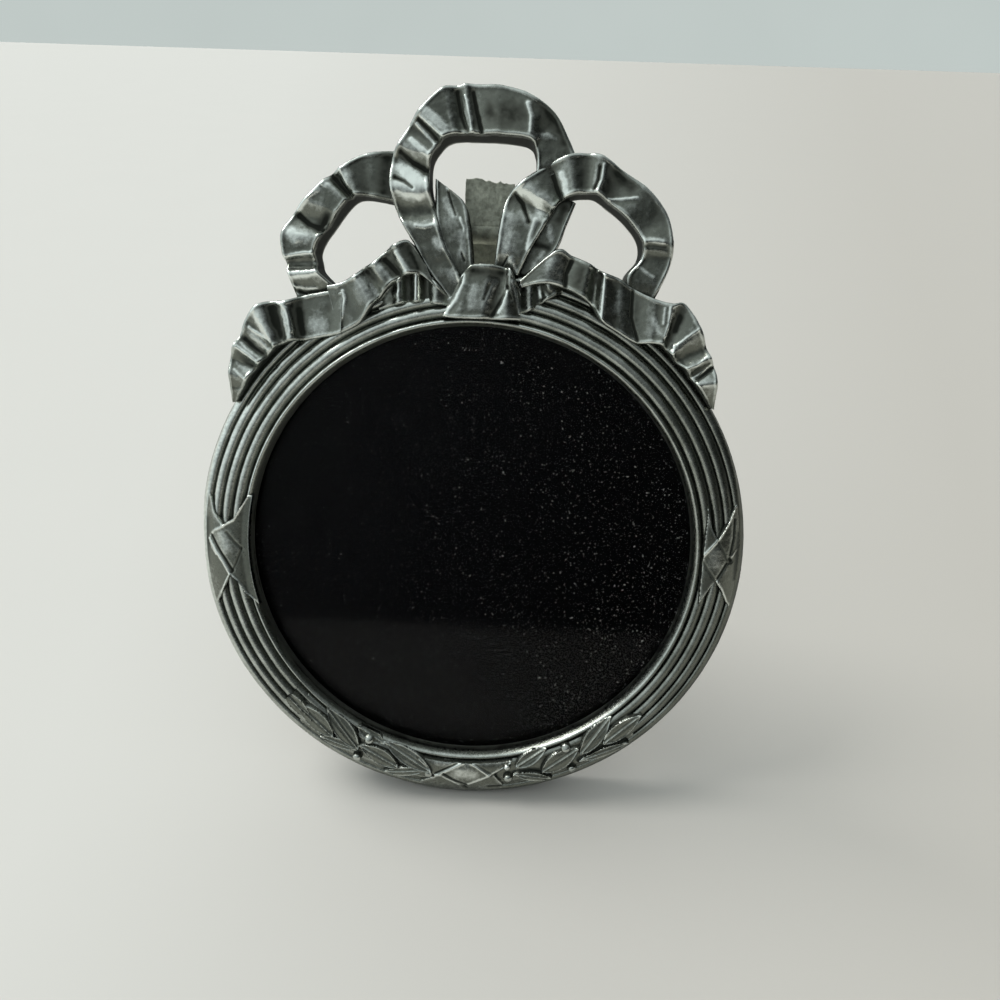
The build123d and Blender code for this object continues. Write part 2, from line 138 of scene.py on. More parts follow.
class BowSizes(bpy.types.PropertyGroup):
    """Sizes of the ribbon bow."""

    half_field: length("Half field", "Half the width that the fold tables are shares of", 40)
    rise: length("Rise", "Height that the fold tables are shares of", 40)
    overlap: length("Overlap", "How far the bow's foot lies below the ring's top", 10)
    back_depth: length("Back depth", "Flat back of the bow behind the widest circle", 3.3)
    fold_height: length("Fold height", "Height of the highest folds over the ribbon", 2.1)
    edge: length("Ribbon edge", "Rounding of the ribbon's edges", 0.45)


class LegSizes(bpy.types.PropertyGroup):
    """Sizes of the leg and its hinge."""

    hinge_x: length("Hinge centre", "Middle of the barrel to the right of the ring's middle", 1.5)
    hinge_above_ring: length("Hinge above ring", "Pin above the ring's top edge", 7.3)
    hinge_depth: length("Hinge depth", "Pin behind the widest circle", 5.8)
    tilt: angle("Leg tilt", "Slope of the leg from upright", 11)
    barrel_radius: length("Barrel radius", "Radius of the barrel", 2.4)
    barrel_length: length("Barrel length", "Length of the barrel", 9.2)
    barrel_clearance: length("Barrel clearance", "Gap between barrel and lug", 0.2)
    lug_thickness: length("Lug thickness", "Thickness of a hinge lug", 1.7)
    face_offset: length("Face offset", "Front face of the leg in front of the pin's centre", 0.5)
    thickness: length("Leg thickness", "Thickness of the leg", 1.8)
    waist_width: length("Waist width", "Width of the leg above its foot", 8.0)
    foot_width: length("Foot width", "Width of the foot", 24.0)
    foot_length: length("Foot length", "Length of the flare to the foot", 16.0)
    toe_length: length("Toe length", "Straight end of the foot", 3.0)
    head_length: length("Head length", "Head above the pin", 9.2)
    head_slope: length("Head slope", "How much lower the head's right corner is", 0.9)


class FinishColours(bpy.types.PropertyGroup):
    """Colours of the metal, cards and glass."""

    # The rubbed colour also gives the painted highlights, and the patina the painted shade
    rubbed: colour("Rubbed pewter", "Bare metal on the crests", 0.8, 0.84, 0.79)
    pewter: colour("Pewter", "Dulled metal of the flats", 0.17, 0.18, 0.155)
    patina: colour("Patina", "Dark patina in the hollows", 0.01, 0.012, 0.009)
    leg_pewter: colour("Leg pewter", "Unpolished pewter of the leg", 0.6, 0.62, 0.52)
    leg_mottle: colour("Leg mottle", "Duller patches of the leg", 0.26, 0.27, 0.22)
    brass: colour("Brass", "Turn buttons and rivets", 0.55, 0.38, 0.13)
    steel: colour("Steel", "Hinge pin", 0.42, 0.42, 0.42)
    black_card: colour("Black card", "Card behind the glass", 0.0015, 0.0015, 0.002)
    grey_card: colour("Grey card", "Spacer card", 0.3, 0.29, 0.27)
    board: colour("Board", "Back board", 0.018, 0.018, 0.019)
    dust: colour("Dust", "Dust on the glass", 0.6, 0.61, 0.61)


class StageSettings(bpy.types.PropertyGroup):
    """Floor, lights and camera."""

    floor: colour("Floor", "Colour of the floor on the window's side", 0.65, 0.63, 0.595)
    # Painted shade: the floor turns to this colour away from the window
    floor_painted_shade: colour("Far floor", "Colour of the floor away from the window", 0.51, 0.48, 0.44)
    floor_cloud: colour("Floor cloud", "Faint clouds in the floor's colour", 0.4, 0.4, 0.38)
    wall: colour("Wall", "Colour of the wall behind", 0.54, 0.6, 0.58)
    dark_sky: colour("Dark sky", "Light of the sky away from the window", 0.02, 0.023, 0.023)
    bright_sky: colour("Bright sky", "Light of the sky on the window's side", 0.85, 0.93, 0.94)
    window_side: direction("Window side", "Where the sky is brightest", -0.75, 0.35, 0.65)
    lamp_side: direction("Lamp side", "Where the soft lamp stands", -0.6, 0.25, 0.75)
    lamp_spread: angle("Lamp spread", "Width of the lamp, which softens shadows", 30)
    lamp_strength: FloatProperty(name="Lamp strength", description="How bright it is", default=2.1)
    lamp_colour: colour("Lamp colour", "Colour of the lamp", 1.0, 1.0, 0.97)
    room: FloatProperty(
        name="Room", description="Width of the floor and the wall", default=6, unit="LENGTH"
    )
    wall_away: FloatProperty(
        name="Wall distance", description="Wall behind the frame", default=2.4, unit="LENGTH"
    )
    wall_turn: angle("Wall turn", "Turn of the wall about the upright", -1)
    camera_right: length("Camera right", "Camera to the right of the ring's middle", 7.46)
    camera_up: length("Camera up", "Camera above the ring's middle, along the ring", 41.8)
    camera_away: length("Camera away", "Camera in front of the widest circle", 138.7)
    camera_pitch: angle("Camera pitch", "Turn about the ring's X axis", -12.65)
    camera_yaw: angle("Camera yaw", "Turn about the ring's Y axis", 1.3)
    camera_roll: angle("Camera roll", "Turn about the ring's own axis", 2.0)
    camera_lens: FloatProperty(name="Lens", description="Focal length", default=26.0, unit="CAMERA")


def sizes():
    """The scene's sizes, in one place."""
    return bpy.context.scene.round_frame


class RoundFrame(bpy.types.PropertyGroup):
    """All that a user would change."""

    ring: PointerProperty(type=RingSizes)
    laurel: PointerProperty(type=LaurelSizes)
    bow: PointerProperty(type=BowSizes)
    leg: PointerProperty(type=LegSizes)
    finish: PointerProperty(type=FinishColours)
    stage: PointerProperty(type=StageSettings)


# Fold lines of the ribbons. Each row is a fold: its outer end, its inner end and its rise, which is
# a share of the highest fold's. Places are shares of the bow's field, across from the middle and
# up from its foot.
LEFT_LOOP_SHARES = (
    (-0.83, 0.0875, -0.64, 0.1325, 0.35),
    (-0.865, 0.195, -0.72, 0.205, 1.0),
    (-0.875, 0.24, -0.735, 0.25, 0.45),
    (-0.89, 0.285, -0.74, 0.295, 0.85),
    (-0.89, 0.365, -0.715, 0.35, 1.0),
    (-0.84, 0.45, -0.67, 0.41, 0.4),
    (-0.78, 0.52, -0.625, 0.47, 0.9),
    (-0.705, 0.59, -0.59, 0.51, 1.0),
    (-0.66, 0.625, -0.57, 0.525, 0.4),
    (-0.61, 0.66, -0.545, 0.535, 0.9),
    (-0.51, 0.715, -0.485, 0.535, 0.45),
    (-0.345, 0.735, -0.33, 0.51, 0.05),
)
CENTRE_LOOP_SHARES = (
    (-0.125, 0.1, -0.06, 0.17, 0.4),
    (-0.235, 0.24, -0.095, 0.24, 0.6),
    (-0.285, 0.33, -0.145, 0.33, 0.8),
    (-0.335, 0.41, -0.175, 0.415, 1.0),
    (-0.37, 0.475, -0.195, 0.485, 0.45),
    (-0.4, 0.575, -0.22, 0.57, 1.0),
    (-0.395, 0.685, -0.225, 0.655, 0.4),
    (-0.365, 0.75, -0.215, 0.71, 0.9),
    (-0.32, 0.825, -0.185, 0.755, 0.5),
    (-0.265, 0.9, -0.16, 0.78, 1.0),
    (-0.18, 0.98, -0.125, 0.795, 0.75),
    (-0.115, 0.995, -0.085, 0.8, 0.35),
    (-0.075, 1.0, -0.05, 0.8, 0.7),
    (-0.035, 1.0, -0.01, 0.8, 0.5),
    (0.09, 0.995, 0.075, 0.8, 0.8),
    (0.21, 0.96, 0.205, 0.785, 1.0),
    (0.315, 0.895, 0.24, 0.74, 0.6),
    (0.385, 0.785, 0.245, 0.675, 0.5),
    (0.43, 0.7, 0.235, 0.615, 0.3),
)
RIGHT_LOOP_SHARES = (
    (0.07, 0.24, 0.185, 0.22, 0.5),
    (0.08, 0.34, 0.235, 0.33, 0.9),
    (0.095, 0.46, 0.295, 0.44, 0.8),
    (0.12, 0.55, 0.315, 0.48, 0.45),
    (0.185, 0.62, 0.335, 0.51, 1.0),
    (0.29, 0.69, 0.36, 0.54, 0.4),
    (0.38, 0.73, 0.41, 0.565, 0.95),
    (0.46, 0.74, 0.465, 0.5725, 0.6),
    (0.53, 0.73, 0.515, 0.57, 1.0),
    (0.63, 0.67, 0.57, 0.535, 0.6),
    (0.74, 0.6, 0.64, 0.485, 0.85),
    (0.83, 0.5, 0.7, 0.425, 0.7),
    (0.865, 0.385, 0.73, 0.37, 1.0),
    (0.865, 0.3, 0.725, 0.305, 0.65),
    (0.835, 0.21, 0.67, 0.23, 0.75),
    (0.79, 0.11, 0.67, 0.12, 0.4),
)
STANDING_END_SHARES = (
    (-0.09, 0.2, -0.02, 0.22, 0.4),
    (-0.15, 0.31, -0.03, 0.335, 0.6),
    (-0.19, 0.41, -0.045, 0.44, 0.7),
    (-0.2, 0.53, -0.07, 0.525, 0.5),
    (-0.2, 0.62, -0.14, 0.58, 0.5),
)
REAR_STRIP_SHARES = (
    (0.16, 0.26, 0.21, 0.2, 0.1),
    (0.25, 0.4, 0.345, 0.33, 0.3),
    (0.31, 0.5, 0.39, 0.44, 0.3),
    (0.36, 0.58, 0.43, 0.545, 0.1),
)
LEFT_BASE_SHARES = (
    (-0.24, 0.26, -0.19, 0.155, 0.4),
    (-0.31, 0.35, -0.255, 0.205, 0.5),
    (-0.37, 0.335, -0.31, 0.205, 1.0),
    (-0.415, 0.305, -0.36, 0.18, 0.4),
    (-0.47, 0.255, -0.405, 0.145, 0.85),
    (-0.515, 0.23, -0.44, 0.1, 0.35),
    (-0.555, 0.195, -0.478, 0.06, 1.0),
    (-0.625, 0.16, -0.54, -0.02, 0.6),
    (-0.685, 0.15, -0.63, -0.065, 0.3),
)
LEFT_TAIL_SHARES = (
    (-0.61, 0.125, -0.62, -0.065, 0.6),
    (-0.68, 0.125, -0.69, -0.08, 0.2),
    (-0.8, 0.1, -0.79, -0.1, 0.1),
    (-0.87, 0.075, -0.845, -0.105, 0.95),
    (-0.94, 0.07, -0.89, -0.12, 0.5),
    (-1.005, 0.05, -0.92, -0.135, 1.0),
    (-1.06, -0.015, -0.942, -0.155, 0.6),
    (-1.09, -0.085, -0.964, -0.178, 0.4),
    (-1.115, -0.13, -0.99, -0.208, 1.0),
    (-1.14, -0.195, -1.02, -0.24, 0.4),
    (-1.145, -0.26, -1.05, -0.28, 0.85),
    (-1.145, -0.33, -1.085, -0.335, 0.5),
    (-1.145, -0.4, -1.125, -0.395, 0.05),
)
RIGHT_TAIL_SHARES = (
    (0.19, 0.2, 0.2, 0.165, 0.5),
    (0.345, 0.33, 0.29, 0.185, 0.9),
    (0.42, 0.31, 0.39, 0.17, 0.5),
    (0.495, 0.28, 0.465, 0.135, 0.9),
    (0.535, 0.26, 0.52, 0.095, 0.3),
    (0.57, 0.24, 0.565, 0.03, 1.0),
    (0.635, 0.22, 0.64, -0.015, 0.6),
    (0.705, 0.18, 0.73, -0.06, 0.3),
    (0.81, 0.135, 0.8, -0.06, 0.75),
    (0.88, 0.12, 0.84, -0.065, 1.0),
    (0.94, 0.12, 0.868, -0.088, 0.5),
    (1.015, 0.02, 0.888, -0.106, 0.9),
    (1.055, -0.07, 0.915, -0.138, 0.4),
    (1.075, -0.11, 0.96, -0.17, 0.9),
    (1.095, -0.15, 0.99, -0.21, 0.4),
    (1.115, -0.22, 1.02, -0.24, 0.85),
    (1.12, -0.35, 1.1, -0.34, 0.05),
)
LEFT_UNDER_SHARES = (
    (-0.13, 0.12, -0.12, 0.075, 0.3),
    (-0.185, 0.175, -0.185, 0.08, 0.7),
    (-0.235, 0.215, -0.23, 0.085, 0.2),
    (-0.275, 0.225, -0.275, 0.085, 0.9),
    (-0.32, 0.22, -0.315, 0.08, 0.2),
    (-0.355, 0.195, -0.355, 0.075, 0.8),
    (-0.4, 0.16, -0.395, 0.065, 0.3),
    (-0.455, 0.1, -0.45, 0.045, 0.1),
)
RIGHT_UNDER_SHARES = (
    (0.19, 0.185, 0.2, 0.05, 0.4),
    (0.235, 0.2, 0.24, 0.065, 0.8),
    (0.275, 0.21, 0.28, 0.09, 0.2),
    (0.32, 0.21, 0.325, 0.12, 0.8),
    (0.385, 0.195, 0.385, 0.15, 0.1),
)
KNOT_SHARES = (
    (-0.065, 0.22, -0.155, 0.025, 0.5),
    (-0.025, 0.255, -0.075, 0.02, 0.9),
    (0.05, 0.26, 0.015, 0.02, 1.0),
    (0.12, 0.25, 0.07, 0.02, 0.6),
    (0.15, 0.24, 0.13, 0.02, 1.0),
    (0.195, 0.15, 0.2, 0.02, 0.5),
)
# Each ribbon with its folds and the height above the widest circle that they rise from, in
# millimetres
RIBBONS = {
    "rear_strip": (REAR_STRIP_SHARES, -0.4),
    "left_loop": (LEFT_LOOP_SHARES, 1.1),
    "centre_loop": (CENTRE_LOOP_SHARES, 1.6),
    "right_loop": (RIGHT_LOOP_SHARES, 1.5),
    "standing_end": (STANDING_END_SHARES, 1.1),
    "left_under": (LEFT_UNDER_SHARES, 1.9),
    "right_under": (RIGHT_UNDER_SHARES, 1.9),
    "left_base": (LEFT_BASE_SHARES, 2.6),
    "left_tail": (LEFT_TAIL_SHARES, 2.6),
    "right_tail": (RIGHT_TAIL_SHARES, 2.6),
    "knot": (KNOT_SHARES, 3.4),
}

# Marks in the metal: how high they stand in millimetres, then the painted highlight they add when
# above 0 and the painted shade when below 0, together with the metal's wear
RIDGE = (0.2, 0.7)
SWELL = (0.14, 0.35)
GLINT = (0.1, 1.0)
SHEEN = (0.04, 0.45)
SHADE = (-0.05, -0.5)
DIP = (-0.15, -0.3)
CREASE = (-0.28, -0.45)
# Marks on each ribbon: kind, width and the points of a line, in millimetres from the ring's middle
STROKES = {
    "centre_loop": (
        (GLINT, 0.7, (-9.6, 79.2), (-7.8, 77.9), (-6.2, 76.7)),
        (RIDGE, 0.25, (-10.6, 78.4), (-8.3, 76.6), (-6.2, 74.9)),
        (CREASE, 0.4, (-10.9, 78.0), (-8.7, 76.1), (-6.9, 74.3)),
        (RIDGE, 0.3, (-11.3, 77.3), (-9.7, 75.7), (-8.2, 74.3)),
        (GLINT, 0.45, (-12.2, 74.8), (-10.6, 73.4), (-8.8, 72.1)),
        (CREASE, 0.6, (-14.0, 72.8), (-11.9, 71.2), (-9.3, 69.8)),
        (GLINT, 1.2, (-14.3, 70.5), (-12.2, 69.2), (-10.7, 67.5)),
        (GLINT, 0.9, (-14.7, 66.9), (-12.8, 66.1), (-10.7, 65.8)),
        (CREASE, 0.35, (-15.0, 68.5), (-13.3, 67.9), (-11.9, 66.9)),
        (CREASE, 0.4, (-4.4, 82.6), (-3.6, 78.9), (-2.5, 76.4)),
        (RIDGE, 0.28, (-3.1, 81.9), (-2.6, 81.0), (-2.0, 78.7), (-1.6, 76.5)),
        (CREASE, 0.4, (-1.6, 82.5), (-0.8, 79.2), (0.0, 76.4)),
        (SHADE, 2.4, (1.8, 79.6), (5.8, 79.2)),
        (RIDGE, 0.4, (7.8, 80.9), (8.5, 79.0), (8.5, 76.5)),
        (SHADE, 1.6, (10.4, 80.7), (12.4, 78.9), (14.8, 75.4)),
        (SHEEN, 0.6, (9.3, 75.7), (11.1, 76.3), (13.0, 75.8)),
        (GLINT, 0.35, (7.8, 74.1), (9.6, 72.5), (10.0, 70.7)),
        (SWELL, 0.35, (-11.2, 60.6), (-9.6, 60.4), (-8.0, 60.9)),
        (GLINT, 0.7, (-7.6, 58.1), (-6.7, 57.3)),
        (SHEEN, 1.0, (-4.7, 52.9), (-3.6, 51.8)),
        (SHADE, 0.5, (-8.6, 69.0), (-7.9, 65.0), (-6.0, 59.3), (-3.8, 53.5)),
    ),
    "left_loop": (
        (SHADE, 1.6, (-16.9, 71.9), (-17.3, 69.0), (-17.3, 66.0)),
        (RIDGE, 0.3, (-24.8, 69.8), (-24.0, 67.7), (-22.9, 65.3)),
        (SHEEN, 0.8, (-24.2, 69.2), (-23.8, 68.3)),
        (CREASE, 0.6, (-26.3, 68.6), (-24.8, 66.7), (-23.2, 64.9)),
        (GLINT, 0.4, (-27.7, 67.0), (-27.1, 66.9)),
        (GLINT, 0.4, (-28.5, 66.2), (-30.4, 64.9), (-32.3, 62.9)),
        (CREASE, 0.5, (-32.3, 61.8), (-30.7, 60.4), (-28.0, 59.3)),
        (SHADE, 1.0, (-27.2, 62.3), (-28.2, 59.9)),
        (GLINT, 1.0, (-33.4, 58.8), (-32.8, 58.0)),
        (SHEEN, 0.9, (-31.4, 58.1), (-31.0, 57.7)),
        (RIDGE, 0.4, (-35.2, 54.5), (-31.4, 55.4), (-29.2, 55.3)),
        (CREASE, 0.45, (-34.2, 52.6), (-31.7, 52.8), (-29.4, 53.1)),
        (GLINT, 0.6, (-34.2, 51.4), (-31.7, 51.7), (-29.5, 52.2)),
        (SWELL, 0.3, (-33.7, 49.6), (-31.6, 49.3), (-29.5, 49.4)),
        (DIP, 0.3, (-33.3, 48.9), (-31.0, 48.3), (-27.8, 48.4)),
        (SWELL, 0.3, (-32.9, 48.1), (-30.6, 47.6), (-28.0, 47.8)),
    ),
    "right_loop": (
        (GLINT, 0.9, (6.7, 67.1), (8.4, 66.9), (10.3, 65.0), (10.9, 63.7)),
        (CREASE, 0.4, (12.6, 70.1), (13.6, 67.6), (14.6, 65.7)),
        (GLINT, 0.5, (14.1, 70.0), (14.7, 68.7), (15.1, 66.5)),
        (CREASE, 0.3, (20.8, 71.3), (20.6, 69.1), (20.0, 67.6)),
        (RIDGE, 0.3, (21.5, 71.6), (21.4, 69.4), (20.6, 67.4)),
        (RIDGE, 0.25, (22.7, 66.1), (25.0, 66.2), (27.6, 66.5)),
        (SWELL, 0.45, (28.9, 59.4), (31.0, 59.5), (32.7, 59.2)),
        (DIP, 0.45, (29.1, 58.4), (31.1, 58.5), (33.2, 58.4)),
        (SWELL, 0.3, (29.1, 54.8), (30.6, 53.7), (31.6, 53.2)),
        (GLINT, 0.3, (28.8, 58.1), (29.3, 56.8), (28.5, 55.0)),
        (SHADE, 1.2, (23.5, 70.5), (26.6, 68.2)),
        (CREASE, 0.35, (6.2, 66.6), (7.6, 65.0), (8.4, 63.0), (8.8, 61.9)),
        (SHEEN, 1.2, (4.9, 62.6), (5.2, 59.6), (4.6, 57.0)),
        (GLINT, 0.4, (10.0, 62.3), (9.1, 59.4), (8.8, 57.4)),
        (GLINT, 0.5, (5.9, 55.5), (6.7, 53.3)),
        (CREASE, 0.2, (5.2, 55.8), (4.2, 53.9)),
    ),
    "rear_strip": (
        (SHEEN, 0.7, (12.6, 61.4), (13.0, 59.4)),
        (SHEEN, 0.5, (11.6, 57.1), (9.4, 53.5)),
        (SHADE, 0.8, (15.1, 64.8), (14.3, 62.9)),
        (SHADE, 0.6, (10.1, 58.5), (12.5, 58.0)),
    ),
    "standing_end": (
        (GLINT, 0.3, (-6.3, 68.3), (-5.7, 67.2)),
        (CREASE, 0.2, (-5.6, 66.5), (-5.0, 64.6), (-4.3, 62.8)),
        (SHEEN, 0.8, (-6.2, 65.2), (-4.8, 62.8)),
        (RIDGE, 0.25, (-3.4, 62.2), (-2.7, 60.7), (-2.6, 60.2)),
        (SHEEN, 0.8, (-2.9, 59.5), (-2.9, 56.2)),
        (CREASE, 0.2, (-3.0, 56.3), (-2.5, 55.1)),
    ),
    "left_base": (
        (RIDGE, 0.3, (-29.6, 41.0), (-26.5, 41.7), (-25.5, 42.9), (-24.6, 44.6), (-23.9, 47.6),
         (-24.3, 49.0)),
        (GLINT, 0.8, (-21.4, 51.7), (-20.0, 50.2), (-18.6, 48.8)),
        (DIP, 0.7, (-19.9, 52.7), (-18.2, 51.2), (-16.5, 49.9)),
        (SWELL, 0.5, (-18.0, 53.7), (-16.5, 52.3), (-14.9, 50.5)),
        (CREASE, 0.5, (-16.8, 54.6), (-15.3, 53.3), (-13.5, 51.8)),
        (GLINT, 0.4, (-14.7, 55.7), (-13.7, 54.5), (-12.6, 53.0)),
        (SHADE, 0.9, (-12.7, 56.3), (-11.6, 55.0), (-10.6, 53.6)),
    ),
    "left_under": (
        (GLINT, 0.5, (-15.1, 48.6), (-14.5, 49.0)),
        (GLINT, 0.5, (-11.2, 51.7), (-11.0, 48.8)),
    ),
    "right_under": (
        (GLINT, 0.35, (10.9, 51.1), (11.5, 49.1)),
        (CREASE, 0.5, (12.1, 50.6), (13.1, 49.8)),
    ),
    "left_tail": (
        (RIDGE, 0.35, (-36.1, 46.3), (-35.1, 46.1), (-34.5, 45.5), (-34.0, 43.8), (-33.6, 41.6)),
        (SHADE, 0.9, (-36.6, 45.3), (-36.3, 43.4), (-35.8, 41.1)),
        (SHEEN, 0.6, (-35.3, 45.4), (-34.7, 42.7), (-34.4, 41.1)),
        (GLINT, 1.0, (-39.9, 44.7), (-39.0, 42.6), (-38.1, 40.8)),
        (SHADE, 0.8, (-37.6, 45.3), (-37.3, 42.6)),
        (RIDGE, 0.3, (-41.6, 42.0), (-39.9, 40.9), (-37.9, 39.6)),
        (SHEEN, 0.8, (-41.0, 40.6), (-38.8, 38.4)),
        (DIP, 0.6, (-42.4, 39.9), (-41.0, 38.3), (-39.0, 37.0)),
        (RIDGE, 0.3, (-43.2, 39.2), (-41.5, 37.8), (-39.5, 36.6)),
        (RIDGE, 0.3, (-43.8, 38.5), (-41.7, 37.0), (-39.6, 35.2)),
        (DIP, 0.7, (-43.6, 37.3), (-42.1, 35.6), (-40.1, 34.7)),
        (SHEEN, 0.6, (-44.4, 35.5), (-42.0, 34.1)),
        (SWELL, 0.25, (-44.6, 34.3), (-42.5, 32.4)),
        (SHADE, 0.8, (-33.1, 45.3), (-32.5, 43.1), (-32.0, 41.6)),
        (SHEEN, 1.8, (-29.6, 42.6), (-28.2, 42.9)),
    ),
    "right_tail": (
        (SHEEN, 1.5, (13.6, 55.3), (14.1, 52.5)),
        (CREASE, 0.4, (16.7, 55.4), (15.8, 53.2), (15.8, 51.2)),
        (SHADE, 1.1, (18.7, 53.8), (18.3, 51.2)),
        (SHEEN, 0.6, (21.3, 51.1), (20.9, 48.2)),
        (RIDGE, 0.35, (22.7, 53.1), (22.7, 48.8), (22.5, 44.9)),
        (CREASE, 0.3, (28.0, 50.7), (28.1, 46.1), (29.5, 42.1)),
        (SHEEN, 1.0, (25.5, 50.1), (25.1, 47.2)),
        (SHEEN, 0.6, (32.1, 45.7), (33.1, 43.7)),
        (RIDGE, 0.35, (34.8, 47.9), (34.8, 45.2), (34.3, 43.0)),
        (SWELL, 0.3, (33.8, 47.9), (33.7, 45.2)),
        (SHADE, 0.6, (36.8, 46.4), (36.1, 44.1)),
        (RIDGE, 0.25, (40.2, 44.4), (38.3, 43.0), (36.6, 41.6)),
        (RIDGE, 0.3, (36.0, 41.3), (36.0, 38.5)),
        (SWELL, 0.3, (42.0, 39.6), (40.5, 38.0), (38.5, 37.4)),
        (RIDGE, 0.25, (43.1, 38.1), (41.0, 36.3), (39.0, 35.0)),
        (CREASE, 0.3, (43.6, 37.7), (41.6, 36.0), (40.1, 34.7)),
        (SHEEN, 0.5, (40.6, 34.5), (43.8, 34.9)),
    ),
    "knot": (
        (RIDGE, 0.4, (-2.5, 52.4), (-2.6, 50.9), (-3.8, 48.1), (-5.7, 45.5)),
        (SHEEN, 1.0, (-0.4, 50.1), (-0.9, 47.2)),
        (SHEEN, 0.7, (3.4, 51.4), (2.1, 49.0), (1.4, 47.1)),
        (DIP, 0.35, (2.2, 50.7), (1.4, 48.3)),
        (CREASE, 0.3, (5.3, 52.2), (5.4, 50.3), (4.2, 47.9), (2.9, 45.6)),
        (GLINT, 0.4, (5.4, 49.8), (4.6, 47.4), (3.9, 46.3)),
        (CREASE, 0.3, (5.5, 50.6), (6.2, 48.6)),
        (RIDGE, 0.3, (6.4, 51.5), (7.0, 49.8), (7.8, 46.1)),
        (SHADE, 1.0, (-1.4, 53.3), (1.2, 52.9), (3.9, 53.1)),
    ),
}

# Crossed wraps at the sides: the turn at which they lie, their outline and their marks
WRAPS = {
    "left_wrap": (
        pi,
        ((-54.5, 13.0), (-51.0, 9.5), (-50.3, 6.5), (-48.6, 4.3), (-46.6, 5.5), (-45.0, 8.0),
         (-43.6, 10.2), (-42.0, 10.5), (-42.0, -12.5), (-43.2, -11.3), (-44.8, -9.9), (-46.2, -7.5),
         (-47.6, -6.2), (-48.4, -7.8), (-49.5, -10.0), (-50.8, -12.4), (-54.5, -14.5)),
        (
            (RIDGE, 0.28, (-48.6, 4.1), (-46.6, 5.2), (-45.1, 7.7), (-43.7, 9.9)),
            (RIDGE, 0.3, (-51.8, 1.0), (-50.3, -1.5), (-48.8, -3.6), (-47.6, -5.9), (-46.3, -7.2),
             (-44.9, -9.6), (-43.4, -11.0)),
            (RIDGE, 0.22, (-47.6, -5.9), (-48.6, -7.8), (-49.7, -10.0)),
            (SWELL, 0.25, (-50.4, -2.0), (-51.3, -0.8), (-51.8, 1.0)),
            (CREASE, 0.25, (-51.2, 1.9), (-49.6, -0.9), (-48.2, -3.1), (-47.0, -5.2)),
            (DIP, 0.25, (-47.9, 2.7), (-46.5, 0.9), (-45.2, -0.5)),
            (SWELL, 0.3, (-48.6, 3.9), (-50.6, 2.8), (-51.6, 1.6)),
            (DIP, 0.22, (-45.2, -0.7), (-46.2, -3.4), (-47.3, -5.6)),
            (SHEEN, 1.2, (-49.3, 2.0), (-48.3, -0.4)),
            (SHADE, 0.8, (-52.3, 5.0), (-52.6, -4.0)),
        ),
    ),
    "right_wrap": (
        0.0,
        ((45.4, 11.5), (46.6, 7.4), (47.8, 5.2), (49.5, 8.2), (50.8, 11.5), (54.5, 14.0),
         (54.5, -12.5), (50.9, -8.0), (49.4, -5.2), (48.2, -3.4), (46.6, -6.2), (45.3, -8.6),
         (45.3, 0.5)),
        (
            (RIDGE, 0.28, (45.1, 1.2), (46.5, 3.2), (47.9, 5.0), (49.6, 8.2), (50.6, 10.8)),
            (RIDGE, 0.25, (48.3, -3.0), (49.7, -5.2), (51.0, -8.0)),
            (CREASE, 0.28, (50.1, 0.2), (49.2, -1.6), (48.2, -3.4)),
            (CREASE, 0.25, (51.0, 9.0), (51.1, 5.4), (50.7, 2.0)),
            (SWELL, 0.25, (52.0, 2.8), (51.0, 1.3)),
            (CREASE, 0.45, (50.7, 1.1), (50.9, 0.7)),
            (DIP, 0.22, (47.9, 4.7), (49.2, 2.8), (50.1, 0.8)),
            (DIP, 0.22, (45.2, 0.9), (46.6, -1.2), (48.1, -3.2)),
            (SHEEN, 1.2, (47.6, 2.4), (47.9, 0.2)),
            (SHADE, 0.8, (52.6, -3.0), (52.4, 6.0)),
        ),
    ),
}
# The crossed wrap at the foot: its outline and its marks
FOOT_OUTLINE = (
    (-9.8, -43.8), (9.8, -43.8), (9.9, -45.1), (6.3, -47.9), (8.3, -50.8), (7.5, -54.5),
    (-8.2, -54.5), (-9.8, -50.9), (-6.4, -48.8), (-9.9, -45.0),
)
FOOT_MARKS = (
    (RIDGE, 0.28, (-6.8, -49.3), (-3.2, -47.2), (0.5, -45.1), (2.6, -46.4), (5.1, -48.2)),
    (RIDGE, 0.28, (0.8, -50.8), (5.0, -48.4), (9.5, -45.2)),
    (SWELL, 0.25, (-9.4, -45.0), (-6.3, -48.5), (-4.8, -48.8), (-1.2, -51.0)),
    (CREASE, 0.25, (-4.5, -48.2), (-2.0, -49.9), (0.5, -51.1)),
    (CREASE, 0.22, (0.1, -44.9), (-3.6, -46.8), (-6.3, -48.3)),
    (CREASE, 0.22, (5.6, -48.3), (7.6, -46.4), (9.3, -45.0)),
    (DIP, 0.22, (1.0, -45.1), (3.4, -46.5), (5.6, -47.7)),
    (CREASE, 0.5, (0.0, -51.7), (0.4, -52.2)),
    (CREASE, 0.4, (5.2, -51.6), (8.0, -51.4)),
    (SHEEN, 1.3, (-1.2, -47.9), (1.8, -48.3)),
    (SHEEN, 0.8, (-5.6, -45.6), (-3.2, -45.6)),
)
# Leaves: tip, stalk and width, in millimetres, the lowest first
LEAVES = (
    ((-37.6, -30.6), (-31.8, -37.6), 3.4),
    ((-22.5, -38.0), (-16.5, -42.2), 3.0),
    ((-30.5, -40.8), (-22.2, -43.8), 2.8),
    ((-17.4, -48.8), (-7.5, -47.6), 2.8),
    ((-6.8, -47.8), (-17.2, -41.3), 3.8),
    ((-13.9, -47.0), (-22.4, -42.2), 4.0),
    ((-22.2, -43.2), (-29.0, -34.2), 4.2),
    ((-27.5, -40.6), (-35.2, -33.2), 4.4),
    ((34.2, -39.6), (23.4, -44.4), 2.8),
    ((18.6, -48.8), (9.9, -47.6), 2.8),
    ((10.6, -45.8), (17.2, -41.2), 3.2),
    ((16.2, -46.8), (23.8, -40.8), 4.4),
    ((24.0, -42.2), (30.0, -33.2), 3.8),
    ((28.5, -39.6), (36.2, -32.6), 3.8),
)
